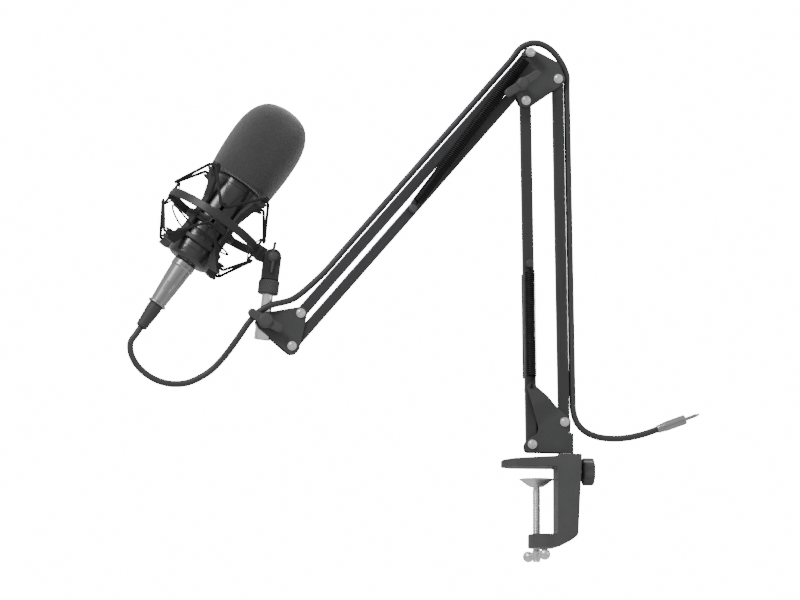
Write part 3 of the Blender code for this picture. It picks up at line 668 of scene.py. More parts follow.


# name, colour, metallic, roughness, grain scale, grain depth in mm, bump strength, colour drift,
# edge wear with painted highlight, its colour, stretch of the grain
SKINS = {
    "clamp_paint": surface("clamp_skin", (0.090, 0.090, 0.092), 0.1, 0.5, 1100.0, 0.06, 0.35,
                           0.1, 0.35, (0.15, 0.15, 0.155)),
    "arm_paint": surface("arm_skin", (0.048, 0.048, 0.050), 0.1, 0.46, 1300.0, 0.04, 0.3, 0.1,
                         0.3, (0.14, 0.14, 0.145)),
    "plate_paint": surface("plate_skin", (0.070, 0.070, 0.072), 0.1, 0.5, 1200.0, 0.05, 0.3,
                           0.1, 0.35, (0.16, 0.16, 0.165)),
    "bright_steel": surface("steel_skin", (0.86, 0.86, 0.87), 1.0, 0.34, 700.0, 0.03, 0.2, 0.08,
                            0.3, (0.8, 0.8, 0.8), (1.0, 3.0, 1.0)),
    "chrome": surface("chrome_skin", (0.93, 0.93, 0.94), 1.0, 0.2, 500.0, 0.01, 0.12, 0.04),
    "spring_black": surface("spring_skin", (0.009, 0.009, 0.010), 0.4, 0.4, 1500.0, 0.03, 0.3,
                            0.2),
    "knob_plastic": surface("knob_skin", (0.076, 0.076, 0.078), 0.0, 0.52, 2000.0, 0.05, 0.4,
                            0.12, 0.2, (0.11, 0.11, 0.112)),
    "mount_plastic": surface("mount_skin", (0.034, 0.034, 0.036), 0.0, 0.45, 1800.0, 0.03, 0.3,
                             0.12, 0.3, (0.1, 0.1, 0.102)),
    "elastic_cord": surface("elastic_skin", (0.018, 0.018, 0.019), 0.0, 0.8, 2600.0, 0.12, 0.7,
                            0.2, pattern=lambda tree: braid_height(tree, 0.0016, 5)),
    "mic_enamel": surface("enamel_skin", (0.050, 0.050, 0.052), 0.25, 0.3, 160.0, 0.02, 0.1,
                          0.1, 0.15, (0.08, 0.08, 0.08), Coat_Weight=0.5, Coat_Roughness=0.12),
    "foam": foam_material(),
    "basket_mesh": surface("basket_skin", (0.35, 0.35, 0.36), 1.0, 0.4, 900.0, 0.2, 0.8,
                           pattern=mesh_pattern),
    "brass": surface("brass_skin", (0.62, 0.45, 0.16), 1.0, 0.3, 400.0, 0.02, 0.2, 0.1, 0.2,
                     (0.8, 0.65, 0.3)),
    "board_green": surface("board_skin", (0.03, 0.16, 0.07), 0.0, 0.4, 300.0, 0.05, 0.3, 0.2,
                           speck=0.5),
    "connector_metal": surface("connector_skin", (0.40, 0.40, 0.41), 1.0, 0.3, 900.0, 0.02, 0.15,
                               0.06, 0.3, (0.62, 0.62, 0.63)),
    "cable_rubber": surface("cable_skin", (0.056, 0.056, 0.058), 0.0, 0.55, 1500.0, 0.04, 0.35,
                            0.1),
}


def piece(name, bm, skin, body=None, stands_for=(), place=None, sharp=40, even=True):
    """One finished piece: placed, given its material, and set riding on its body."""
    if place:
        bm.transform(place)
    bm.transform(Matrix.Scale(MM, 4))
    bmesh.ops.recalc_face_normals(bm, faces=bm.faces)
    mesh = mesh_from(name, bm)
    mesh.materials.append(SKINS[skin])
    mesh.shade_smooth()
    mesh.set_sharp_from_angle(angle=radians(sharp))
    obj = linked(name, mesh)
    if even:
        mod = obj.modifiers.new("even", "WEIGHTED_NORMAL")
        mod.keep_sharp = True
        mod.weight = 60
    if stands_for:
        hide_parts(*([stands_for] if isinstance(stands_for, str) else stands_for))
    if body:
        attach(obj, body)
    return obj


# ---------------------------------------------------------------- camera, light and floor

AIM = Vector((-0.137, 0.0, 0.167))
AZIMUTH = -6.0
ELEVATION = -6.5
DISTANCE = 6.0
LENS = 45.0 * DISTANCE
FLOOR_Z = -0.75
WHITE = (1.0, 1.0, 1.0, 1.0)
ROOM_LIGHT = 0.35         # what lights the object
MIRRORED_LIGHT = 0.62     # what its shiny faces show
SEEN_LIGHT = 16.0         # the plain backdrop


def away(azimuth, elevation):
    a, e = radians(azimuth), radians(elevation)
    return Vector((sin(a) * cos(e), -cos(a) * cos(e), sin(e)))


def aimed(name, data, azimuth, elevation, distance):
    """Camera or light that looks at the aim point."""
    obj = linked(name, data)
    back = away(azimuth, elevation)
    obj.location = AIM + back * distance
    obj.rotation_euler = (-back).to_track_quat("-Z", "Y").to_euler()
    return obj


def make_camera():
    data = bpy.data.cameras.new("view")
    data.lens = LENS
    data.sensor_width = 36.0
    data.clip_start = 0.1
    data.clip_end = 60.0
    bpy.context.scene.camera = aimed("view", data, AZIMUTH, ELEVATION, DISTANCE)


def area_light(name, azimuth, elevation, distance, size, power):
    data = bpy.data.lights.new(name, "AREA")
    data.shape = "RECTANGLE"
    data.size, data.size_y = size
    data.energy = power
    aimed(name, data, azimuth, elevation, distance)


def floor_material():
    """Pale paper that looks nearly as bright as the backdrop and lights nothing."""
    made = surface("floor_skin", (0.86, 0.86, 0.85), 0.0, 0.8, 60.0, 0.3, 0.1, 0.02)
    tree = made.node_tree
    glow = node(tree, "ShaderNodeEmission", {"Color": WHITE, "Strength": 4.0})
    seen = node(tree, "ShaderNodeLightPath").outputs["Is Camera Ray"]
    part = maths(tree, "MULTIPLY", seen, 0.85)
    both = node(tree, "ShaderNodeMixShader", {0: part, 1: tree.nodes["Principled BSDF"].outputs[0],
                                              2: glow.outputs[0]})
    tree.links.new(both.outputs[0], tree.nodes["Material Output"].inputs["Surface"])
    return made


def make_stage():
    area_light("key", -42, 40, 2.6, (0.8, 0.8), 38.0)
    area_light("fill", 66, 10, 3.0, (1.0, 1.6), 9.0)
    area_light("rim", 158, 42, 2.8, (1.4, 1.4), 18.0)
    world = bpy.data.worlds.new("studio")
    world.use_nodes = True
    tree = world.node_tree
    paper = tree.nodes["Background"]
    paper.inputs["Color"].default_value = WHITE
    paper.inputs["Strength"].default_value = ROOM_LIGHT
    bright = node(tree, "ShaderNodeBackground", {"Color": WHITE, "Strength": SEEN_LIGHT})
    cards = node(tree, "ShaderNodeBackground", {"Color": WHITE, "Strength": MIRRORED_LIGHT})
    rays = node(tree, "ShaderNodeLightPath")
    mirrored = node(tree, "ShaderNodeMixShader", {0: rays.outputs["Is Glossy Ray"],
                                                  1: paper.outputs[0], 2: cards.outputs[0]})
    both = node(tree, "ShaderNodeMixShader", {0: rays.outputs["Is Camera Ray"],
                                              1: mirrored.outputs[0], 2: bright.outputs[0]})
    tree.links.new(both.outputs[0], tree.nodes["World Output"].inputs["Surface"])
    bpy.context.scene.world = world

    bm = bmesh.new()
    bmesh.ops.create_grid(bm, x_segments=8, y_segments=8, size=12.0)
    mesh = mesh_from("floor", bm)
    mesh.materials.append(floor_material())
    floor = linked("floor", mesh)
    floor.location = (0.0, 0.0, FLOOR_Z)


make_camera()
make_stage()


# ---------------------------------------------------------------- cable

# from a bar's middle line to the cable's
UPPER_SIDE = Vector((UPPER[1], -UPPER[0])).normalized() * BAR_OFFSET
LOWER_SIDE = Vector((BAR_OFFSET, 0))


def cable_guides():
    """Route points of the whole cable, from the boot to the plug, as (x, y, z)."""
    boot = MIC_FRAME @ Vector((0, 0, -129.5))
    ahead = MIC_FRAME @ Vector((0, 0, -137.0))
    loop = [(-406.4, 0, 121.5), (-405.9, 0, 110.4), (-400.2, 0, 99.2), (-391.3, 0, 90.4),
            (-381.1, 0, 84.3), (-369.9, 0, 80.9), (-360.5, 0, 80.2), (-350.5, 0, 81.4),
            (-339.2, 0, 85.9), (-327.0, -1, 93.6), (-316.8, -3.5, 103.6), (-307.0, -7, 116.0),
            (-297.5, -10.5, 129.6), (-288.5, -12, 142.6), (-278.3, -12.2, 153.0),
            (-266.5, -12.2, 159.2), (-255.5, -9.5, 162.2), (-246.6, -4.5, 165.4),
            (-238.3, -1, 170.8)]
    up = [flat(E3 + UPPER * t + UPPER_SIDE) for t in (0.87, 0.78, 0.6, 0.4, 0.2, 0.1, 0.045)]
    elbow = [(-15.3, 0, 423.2), (-6.6, 0, 428.2), (3.0, 0, 428.8), (11.5, 0, 425.6),
             (18.5, 0, 420.0), (24.4, 0, 412.6), (29.0, 0, 404.2), (31.9, 0, 395.2)]
    middle = [B2 + LOWER * t for t in (0.985, 0.955, 0.8, 0.6, 0.4, 0.2, 0.07)]
    down = [(x + BAR_OFFSET, 0, z) for x, z in middle]
    tail = [(37.4, 0, 56.5), (41.4, 0, 45.0), (49.2, 0, 36.8), (60.2, 0, 31.9), (71.5, 0, 30.0),
            (82.5, 0, 29.9), (95.0, 0, 31.4), (108.8, 0, 34.8), (122.6, 0, 39.7)]
    return [boot, ahead] + loop + up + elbow + down + tail


def at_arc(path, marks, s):
    k = 0
    while k < len(marks) - 2 and marks[k + 1] < s:
        k += 1
    f = (s - marks[k]) / (marks[k + 1] - marks[k])
    return path[k].lerp(path[k + 1], min(1.0, max(0.0, f)))


def nearest_arc(path, marks, point):
    target = flat(point)
    return marks[min(range(len(path)), key=lambda k: (path[k] - target).length)]


def build_cable():
    path = through(cable_guides())
    marks = arc_marks(path)
    spot = lambda p: nearest_arc(path, marks, p)
    # (name, end arc, bodies, lay, CAD node that it stands for)
    parts = [
        ("cable_1_boot", 39.5, ("cradle", "shock_ring"), "hanging", "cable_loop"),
        ("cable_2_loop", 155.5, ("shock_ring", "clevis"), "hanging", "cable_loop"),
        ("cable_3_rise", 195.0, ("clevis", "post"), "hanging", "cable_loop"),
        ("cable_4_rise", 234.5, ("post", "head"), "hanging", "cable_loop"),
        ("cable_5_head", spot(A - UPPER * 0.11 + UPPER_SIDE), ("head", "upper_top"), "taut",
         "cable_loop"),
        ("cable_6_upper", spot(E3 + UPPER * 0.1 + UPPER_SIDE), ("upper_top",), "taut",
         "cable_upper"),
        ("cable_7_elbow", spot((4.0, 428.6)), ("upper_top", "elbow"), "taut", "cable_elbow"),
        ("cable_8_elbow", spot(E2 - LOWER * 0.06 + LOWER_SIDE), ("elbow", "lower_back"), "taut",
         "cable_elbow"),
        ("cable_9_lower", spot(B2 + LOWER * 0.085 + LOWER_SIDE), ("lower_back",), "taut",
         "cable_lower"),
        ("cable_10_bend", spot((55.0, 33.9)), ("lower_back", "turntable"), "loose",
         "cable_tail"),
        ("cable_11_tail", marks[-1], ("turntable",), "loose", "cable_tail"),
    ]
    plug = build_jack(path)
    low = 0.0
    for name, high, bodies, lay, stands_for in parts:
        count = max(8, round((high - low) / 2.5))
        points = [at_arc(path, marks, low + (high - low) * k / count) for k in range(count + 1)]
        ends = [at_arc(path, marks, s + 1.0) - at_arc(path, marks, s - 1.0) for s in (low, high)]
        obj = piece(name, sweep(points, CABLE_R, 32, tangents=ends), "cable_rubber", None,
                    stands_for, even=False)
        start, end = points[0], points[-1]
        if len(bodies) == 1:
            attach(obj, bodies[0])
        else:
            run = end - start
            if name == "cable_2_loop":    # run set across the way that the tilt moves it; nothing reads it after
                slant = Vector((cos(radians(58)), 0, sin(radians(58))))
                run = slant * run.dot(slant)
            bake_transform(obj)
        low = high


def build_jack(path):
    """Slim 3.5 mm jack plug at the cable's free end."""
    run = (path[-1] - path[-12]).normalized()
    place = Matrix.Translation(path[-1]) @ run.to_track_quat("Z", "Y").to_matrix().to_4x4()
    sleeve = [(0, -0.4), (3.9, -0.4), (4.2, 1.5), (4.4, 2.6, 0.2), (4.0, 2.9, 0.2), (4.0, 3.6, 0.2),
              (4.5, 3.9, 0.2), (4.6, 5.2, 0.2), (4.2, 5.5, 0.2), (4.2, 6.2, 0.2), (4.8, 6.5, 0.3),
              (5.0, 12.0), (5.0, 29.0, 0.6), (4.4, 30.0, 0.3), (1.75, 30.0, 0), (1.75, 36.4, 0.1),
              (1.6, 36.5, 0), (1.6, 36.9, 0), (1.75, 37.0, 0.1), (1.75, 39.2, 0.1), (1.6, 39.3, 0),
              (1.6, 39.7, 0), (1.75, 39.8, 0.1), (1.75, 41.5, 0.2), (1.1, 42.6, 0.3),
              (1.5, 43.6, 0.3), (0.5, 45.0, 0.2), (0, 45.0)]
    return piece("jack_plug_shell", lathe(sleeve, 40, 0.5), "connector_metal",
                 "turntable", "jack_plug", place)


build_cable()


# ---------------------------------------------------------------- fasteners

def hexagonal(profile, n=36):
    """Lathe profile whose marked entries follow a hexagon."""
    corner = lambda a: 1.0 / cos((a + pi / 6) % (pi / 3) - pi / 6)
    return spin(profile, shape=corner, angles=[tau * k / n + pi / 6 for k in range(n)])


def washer(z, r=4.7, hole=2.0, thick=0.7):
    profile = [(hole, z), (r, z, 0.15), (r, z + thick, 0.25), (hole, z + thick)]
    return lathe(profile, 40, 0.0, 3)


def nut(z, flats=3.5, high=1.9):
    """Lock nut: washer, chamfered hexagon, nylon collar and the bolt's end."""
    base = z + 0.65
    top = base + high
    hexa = [(0, base), (flats, base, True), (flats, top - 0.45, True), (flats, top - 0.1),
            (flats - 0.35, top), (2.95, top), (2.85, top + 0.35), (2.55, top + 0.5),
            (2.05, top + 0.45), (0, top + 0.3)]
    end = [(0, base), (1.95, base), (1.95, z + 3.1), (1.6, z + 3.4), (0.9, z + 3.4),
           (0.5, z + 3.25), (0, z + 3.25)]
    return merge(washer(z), hexagonal(hexa), spin(end, 32))


def hex_head(z, flats=4.0, high=3.4):
    """Bolt head with a chamfered crown and a shallow dish."""
    top = z + high
    profile = [(0, z), (flats * 0.98, z), (flats, z + 0.15, True), (flats, top - 0.75, True),
               (flats * 1.04, top - 0.2), (flats * 0.93, top), (flats * 0.62, top),
               (flats * 0.5, top - 0.35), (0, top - 0.4)]
    return hexagonal(profile)


def flip(bm):
    """Turned to face the back."""
    return moved(bm, rotation(180, "X"))


def both_ends(points, seg, radius):
    """A lathe part and its mirror at the other side of the arm."""
    return merge(lathe(points, seg, radius), flip(lathe(points, seg, radius)))


def shank(low, high, r=BOLT_R):
    return spin([(0, low), (r, low), (r, high), (0, high)], 24)


def through_bolt(name, point, body):
    rear = flip(merge(washer(PLATE_FACE, 4.7, 2.0, 0.5), hex_head(PLATE_FACE + 0.4, 3.9, 3.0)))
    bm = merge(nut(PLATE_FACE), shank(-PLATE_FACE, PLATE_FACE), rear)
    return piece(name + "_set", bm, "bright_steel", body, name, facing(point), 30)


# ---------------------------------------------------------------- clamp

def clamp_outline():
    """Side view of the C frame, from the jaw's lower left corner."""
    curve = [(39.9, -68.4, 6), (33.0, -73.6, 8), (26.0, -77.2, 8), (18.0, -79.8, 8),
             (11.0, -80.5, 4)]
    raw = [(-35.0, 0, 1.4), (-35.0, 7.2, 1.6), (-23.0, 8.3, 4), (20.0, 10.9, 1.4),
           (21.5, 13.0, 1.3), (43.7, 13.0, 1.6), (42.6, -12.0, 10)] + curve
    raw += [(-8.6, -80.5, 1.6), (-8.6, -67.0, 1.4), (19.0, -67.0, 4.5), (19.0, 0, 1.2)]
    return rounded(raw, 1.4, 5)


def plan_slab(loop, low, high, edge=0.01):
    """Solid over an XY region between two heights."""
    bm = slab([loop], low, high, edge, 1)
    bm.transform(Matrix(((1, 0, 0, 0), (0, 0, 1, 0), (0, 1, 0, 0), (0, 0, 0, 1))))
    return bm


def build_clamp():
    body = slab([clamp_outline()], -DEPTH, DEPTH, 0.9, 4)
    cuts = []
    for s in (-1, 1):
        chamfer = [(-36, s * (DEPTH - 13)), (-36, s * (DEPTH + 1)), (-22, s * (DEPTH + 1))]
        cuts.append(plan_slab(chamfer, -3.0, 12.0))
    mid = -8.6 + DEPTH
    arc = circle((mid, 0), DEPTH, 41, 90, 270)
    ends = [(mid, -DEPTH - 2), (-12.6, -DEPTH - 2), (-12.6, DEPTH + 2), (mid, DEPTH + 2)]
    cuts.append(plan_slab(arc + ends, -84.0, -64.0))
    hole = SWIVEL_R + GAP
    bore = spin([(0, -11.0), (hole, -11.0), (hole, 15.0), (0, 15.0)], 40)
    cuts.append(moved(bore, shift(SWIVEL_X, 0, 0)))
    cuts.append(spin([(0, -84.0), (SCREW_R + GAP, -84.0), (SCREW_R + GAP, -60.0), (0, -60.0)], 40))
    side = shift(0, 0, KNOB_Z) @ rotation(90, "Y")
    tap = spin([(0, 32.0), (3.3, 32.0), (3.3, 40.6), (8.5, 42.4), (9.4, 46.0), (0, 46.0)], 40)
    cuts.append(moved(tap, side))
    piece("clamp_casting", carve(body, cuts), "clamp_paint", "clamp", "clamp_frame", sharp=28)

    lobes = lambda a: 1.0 + 0.072 * cos(6 * a)
    knob = [(0, 44.9), (7.6, 44.9), (8.6, 45.1), (10.4, 45.5, True), (12.2, 46.2, True),
            (12.8, 47.0, True), (12.95, 48.2, True), (12.95, 55.4, True), (12.7, 56.8, True),
            (12.0, 57.7, True), (10.6, 58.2, True), (8.6, 58.4), (7.8, 58.2), (7.2, 57.6),
            (0, 57.6)]
    stem = [(0, 36.0), (2.7, 36.0), (2.7, 45.4), (0, 45.4)]
    collar = [(0, 42.9), (4.2, 42.9), (4.6, 43.2), (4.6, 45.2), (0, 45.2)]
    piece("lock_knob_head", spin(knob, 96, lobes), "knob_plastic", "lock", "lock_knob", side)
    piece("lock_knob_stem", merge(spin(stem, 28), lathe(collar, 32, 0.3)),
          "bright_steel", "lock", (), side)

    pad = [(0, -14.4), (4.3, -14.4), (4.3, -19.0, 0.3), (5.2, -19.6, 0.4), (6.9, -19.3, 0.6),
           (9.6, -17.6, 2), (12.6, -15.4, 2), (15.2, -13.3, 2), (17.0, -12.5, 0.3),
           (17.2, -11.9, 0.2), (17.0, -11.4, 0.2), (15.6, -11.3), (0, -11.3)]
    piece("pad_dish", lathe(pad, 72, 0.4, 4), "bright_steel", "pad",
          "pressure_pad", sharp=30)
    build_clamp_screw()


def build_clamp_screw():
    per = 6
    low, high = -94.4, -14.9
    rows = int((high - low) / THREAD * per)
    bm = bmesh.new()
    n = 28
    grid = []
    for k in range(rows + 1):
        z = low + (high - low) * k / rows
        row = []
        plain = 1.0 if z > -21.0 else 0.0
        chamfer = min(1.0, (z - low) / 1.2) * 0.5
        for j in range(n):
            phase = ((z / THREAD) - j / n) % 1.0
            ridge = 1.0 - abs(phase * 2 - 1)
            r = SCREW_R - 0.62 + 0.6 * min(1.0, ridge * 1.35) * (1 - plain)
            r = r if plain else min(r, SCREW_R - 0.55 + chamfer)
            row.append(bm.verts.new((r * cos(tau * j / n), r * sin(tau * j / n), z)))
        grid.append(row)
    loft(bm, grid)
    bm.faces.new(grid[0][::-1])
    bm.faces.new(grid[-1])
    ball = [(3.4 * sin(radians(a)), -17.4 - 3.4 * cos(radians(a))) for a in range(20, 180, 20)]
    tip = spin([(0, -20.8)] + ball + [(0, -14.5)], 28)
    across = (shift(0, 0, TOMMY_Z) @ rotation(17, "Z")
              @ rotation(90, "X"))
    collar = lathe([(0, -91.5), (4.35, -91.5), (4.35, -83.4), (0, -83.4)], 32, 0.4)
    hole = moved(spin([(0, -8), (2.15, -8), (2.15, 8), (0, 8)], 24), across)
    collar = carve(collar, [hole])
    piece("clamp_screw_thread", merge(bm, tip, collar), "bright_steel", "screw", "clamp_screw",
          sharp=50, even=False)
    end = [(5.6 * sin(radians(a)), -20.0 - 5.6 * cos(radians(a))) for a in range(14, 157, 10)]
    half = [(0, -25.6)] + end + [(2.0, -13.8)]
    profile = half + [(2.0, -5.0), (2.0, 5.0)] + [(r, -z) for r, z in reversed(half)]
    piece("tommy_bar_turned", spin(profile, 40), "bright_steel", "screw", "tommy_bar", across)


# ---------------------------------------------------------------- base

FOLD_OUT = Vector((-0.636, 0.772))      # the way that the sheet steps outward
FOLD_LOW = Vector((11.05, 50.25))
FOLD_LEAD = 0.6
FOLD_RUN = 16.7
FOLD_STEP = 5.9
FOLD_EASE = 0.05


def joggle(x, z):
    """How far the sheet has stepped outward at a point."""
    t = ((Vector((x, z)) - FOLD_LOW).dot(FOLD_OUT) + FOLD_LEAD) / FOLD_RUN
    t = min(1.0, max(0.0, t))
    ease = FOLD_EASE
    if t < ease:
        s = t * t / (2 * ease)
    elif t > 1 - ease:
        s = 1 - ease - (1 - t) * (1 - t) / (2 * ease)
    else:
        s = t - ease / 2
    return FOLD_STEP * s / (1 - ease)


def base_outline():
    left = [(-9.0, 15.0, 3), (-12.0, 17.0, 3), (-12.3, 22.5, 3), (-10.4, 26.7, 3),
            (-5.0, 30.4, 3), (0.0, 33.6, 5), (1.3, 39.0, 6), (-2.9, 52.6, 8), (-8.4, 71.5, 2)]
    eye = arc_points(TAB_EYE, 4.3, 17, 210, 60)
    right = [(10.3, 70.6, 3), (17.8, 62.3, 3)]
    shoulder = arc_points(B2, 6.3, 15, 60, -10)
    raw = left + eye + right + shoulder + [(33.4, 35.2, 1.5), (30.1, WRAP_HIGH, 0.4),
                                           (30.1, WRAP_LOW, 0.4)]
    return dense(rounded(raw, 2.0, 5), 1.6)


def build_base():
    parts = []
    for side in (-1, 1):
        inner = lambda x, z, s=side: s * (PLATE_IN + joggle(x, z))
        outer = lambda x, z, s=side: s * (PLATE_OUT + joggle(x, z))
        low, high = (outer, inner) if side < 0 else (inner, outer)
        holes = [circle(B1, PLATE_HOLE, 20), circle(B2, PLATE_HOLE, 20), circle(TAB_EYE, 1.9, 16)]
        parts.append(slab([base_outline()] + holes, low, high, 0.35, 3, 2.4))
    e = 0.35
    ring = [(PLATE_IN, WRAP_LOW + e), (PLATE_IN + e, WRAP_LOW), (PLATE_OUT - e, WRAP_LOW),
            (PLATE_OUT, WRAP_LOW + e), (PLATE_OUT, WRAP_HIGH - e), (PLATE_OUT - e, WRAP_HIGH),
            (PLATE_IN + e, WRAP_HIGH), (PLATE_IN, WRAP_HIGH - e)]
    wrap = bmesh.new()
    rows = []
    for k in range(25):
        a = -pi / 2 + pi * k / 24
        rows.append([wrap.verts.new((SWIVEL_X + r * cos(a), r * sin(a), z)) for r, z in ring])
    loft(wrap, rows)
    wrap.faces.new(rows[0])
    wrap.faces.new(rows[-1][::-1])
    piece("base_bracket_sheet", merge(*parts, wrap), "plate_paint", "turntable",
          "base_bracket", sharp=50)
    place = shift(SWIVEL_X, 0, 0)
    post = [(0, -10.6), (4.9, -10.6, 0), (SWIVEL_R, -9.7, 0), (SWIVEL_R, 2.0, 0),
            (4.9, 2.6, 0.3), (4.9, 6.0, 0.3), (SWIVEL_R, 6.6, 0), (SWIVEL_R, 13.3, 0),
            (7.9, 13.3, 0.2), (7.9, 14.2, 0.2), (SWIVEL_R, 14.2, 0), (SWIVEL_R, 35.2, 0.5),
            (5.0, 36.0, 0.3), (0, 36.0)]
    piece("swivel_post_turned", lathe(post, 48, 0.3), "bright_steel", "turntable",
          "swivel_post", place)
    through_bolt("base_bolt_front", B1, "turntable")
    through_bolt("base_bolt_back", B2, "turntable")


# ---------------------------------------------------------------- arms

def square_ring(half, r):
    """Section of a square tube, points spread over its front and back."""
    out = []
    spread = [k / 8 for k in range(9)]
    flat_run = half - r
    sides = [((1, -1), (1, 1)), ((1, 1), (-1, 1)), ((-1, 1), (-1, -1)), ((-1, -1), (1, -1))]
    for k, (a, b) in enumerate(sides):
        wide, high = (half, flat_run) if k in (0, 2) else (flat_run, half)
        first, last = Vector((a[0] * wide, a[1] * high)), Vector((b[0] * wide, b[1] * high))
        for t in (spread if k in (1, 3) else (0.0, 0.5, 1.0)):
            out.append(tuple(first.lerp(last, t)))
        centre = (b[0] * flat_run, b[1] * flat_run)
        out += circle(centre, r, 5, 90 * k, 90 * k + 90)[1:-1]
    return out


def bar(name, start, end, body):
    """Square tube with round ends, hollow right through."""
    length = (end - start).length
    bm = bmesh.new()
    shells = []
    for half, r in ((BAR_HALF, 1.3), (BAR_HALF - 1.0, 0.5)):
        ring = square_ring(half, r)
        bulge = [max(0.0, BAR_HALF ** 2 - x * x) ** 0.5 for x, _ in ring]
        stops = [None, 7.0] + [length * k / 6 for k in range(1, 6)] + [length - 7.0, None]
        rows = []
        for k, stop in enumerate(stops):
            ends = [-out if k == 0 else length + out for out in bulge]
            rows.append([bm.verts.new((x, y, end if stop is None else stop))
                         for (x, y), end in zip(ring, ends)])
        loft(bm, rows)
        shells.append(rows)
    for k in (0, -1):
        join_rows(bm, shells[0][k], shells[1][k])
    return piece(name + "_tube", bm, "arm_paint", body, name, along(start, end), 35)


SPRING_PARTS = 6
SPRING_WIRE = 0.88
COIL_STEPS = 14           # points in one turn
LOWER_TURN = 38.0         # swings for which the springs' shares are worked out, in degrees
UPPER_TURN = -50.0


def coil(length, near, far, r=4.95, pitch=2.1, tab_hook=False):
    """Line of a close-wound spring on Z from 0 to length, with a loop on each end, and its cuts."""
    loop_r = 3.5
    path = []
    if tab_hook:
        path += [Vector((0, 3.0 * sin(radians(a)), 3.0 - 3.0 * cos(radians(a))))
                 for a in range(-150, 171, 15)]
    else:
        path += [Vector((loop_r * sin(radians(a)), 0, loop_r * cos(radians(a))))
                 for a in range(40, 355, 15)]
    path.append(Vector((0.3, 0, path[-1].z + (near - path[-1].z) * 0.35)))
    path.append(Vector((r * 0.55, 0, near - (near - path[-1].z) * 0.3)))
    turns = (length - far - near) / pitch
    steps = int(turns * COIL_STEPS)
    first = len(path)
    for k in range(steps + 1):
        a = tau * k / COIL_STEPS
        path.append(Vector((r * cos(a), r * sin(a), near + pitch * k / COIL_STEPS)))
    cuts = [first + steps * k // SPRING_PARTS for k in range(1, SPRING_PARTS)]
    top = path[-1]
    path.append(Vector((top.x * 0.5, top.y * 0.5, top.z + 1.2)))
    path.append(Vector((0, 0, length - loop_r - 1.0)))
    path += [Vector((-loop_r * sin(radians(a)), 0, length - loop_r * cos(radians(a))))
             for a in range(12, 320, 15)]
    return path, cuts


def turned(point, pivot, angle):
    """A point of the XZ plane turned about a pivot, from X towards Z, by degrees."""
    rel = Vector(point) - Vector(pivot)
    c, s = cos(radians(angle)), sin(radians(angle))
    return Vector(pivot) + Vector((rel[0] * c - rel[1] * s, rel[0] * s + rel[1] * c))


def straight_share(start, end, pivot, swing, f):
    """How much of the swing the point at fraction f takes, for the spring to stay straight."""
    p = start.lerp(end, f)
    goal_end = turned(end, pivot, swing)
    goal = start.lerp(goal_end, f)
    run = (goal_end - start).normalized()
    best = None
    for k in range(201):
        miss = turned(p, pivot, swing * k / 200) - goal
        off = miss.cross(run) ** 2 + 0.05 * miss.dot(run) ** 2
        if best is None or off < best[0]:
            best = (off, k / 200)
    return best[1]


def spring(name, start, end, y, near, far, pivot, swing, tab_hook=False):
    """Coil from a fixed eye to a stud that swings, in parts; each part's share of the swing is
    worked out and not used.
    """
    length = (end - start).length
    place = shift(0, y, 0) @ along(start, end)
    path, cuts = coil(length, near, far, tab_hook=tab_hook)
    stops = [0] + cuts + [len(path) - 1]
    heights = [0.0] + [path[k].z for k in cuts] + [length]
    shares = [0.0]
    for k, z in enumerate(heights[1:-1]):
        most = 1.0 - 0.01 * (SPRING_PARTS - 1 - k)
        share = straight_share(start, end, pivot, swing, z / length)
        shares.append(min(most, max(shares[-1] + 0.01, share)))
    shares.append(1.0)
    for k in range(SPRING_PARTS):
        first, last = stops[k], stops[k + 1]
        ends = [path[min(len(path) - 1, i + 1)] - path[max(0, i - 1)] for i in (first, last)]
        bm = sweep(path[first:last + 1], SPRING_WIRE, 8, tangents=ends)
        obj = piece(f"{name}_coil_{k + 1}", bm, "spring_black", None, name, place, 60, False)
        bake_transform(obj)


def stud(name, point, reach, body):
    """Black pin across a bar with a domed cap on each end."""
    cap = [(0, reach - 0.9), (3.4, reach - 0.9, 0.2), (4.2, reach - 0.3, 0.3),
           (4.2, reach + 0.9, 0.6), (3.3, reach + 1.7, 0.6), (0, reach + 1.8)]
    tube = [(0, -reach + 0.5), (BOLT_R, -reach + 0.5), (BOLT_R, reach - 0.5), (0, reach - 0.5)]
    sleeve = [(BOLT_R - 0.2, BAR_HALF), (3.6, BAR_HALF, 0.2), (3.6, 8.3, 0.3),
              (BOLT_R - 0.2, 8.3)]
    bm = merge(both_ends(cap, 40, 0.3), spin(tube, 28), both_ends(sleeve, 32, 0.2))
    piece(name + "_pin", bm, "knob_plastic", body, name, facing(point))


def build_arms():
    bar("lower_front_bar", B1, E1, "lower_front")
    bar("lower_back_bar", B2, E2, "lower_back")
    bar("upper_top_bar", E3, A, "upper_top")
    bar("upper_bottom_bar", E4, B, "upper_bottom")
    stud("lower_spring_stud", LOWER_STUD, 15.5, "lower_front")
    stud("upper_spring_stud", UPPER_STUD, 16.5, "upper_bottom")
    for name, side in (("front", -1), ("rear", 1)):
        spring("lower_spring_" + name, TAB_EYE, LOWER_STUD, side * 13.5, 11.6, 7.6,
               B1, LOWER_TURN, True)
        spring("upper_spring_" + name, E3, UPPER_STUD, side * 14.5, 8.0, 9.0,
               E4, UPPER_TURN)


# ---------------------------------------------------------------- elbow and head

def plate(name, circles, holes, side, body):
    loops = [hull_of(circles)] + [circle(p, r, 20) for p, r in holes]
    low, high = sorted((side * PLATE_IN, side * PLATE_OUT))
    piece(name + "_sheet", slab(loops, low, high, 0.35, 3), "plate_paint", body, name, sharp=50)


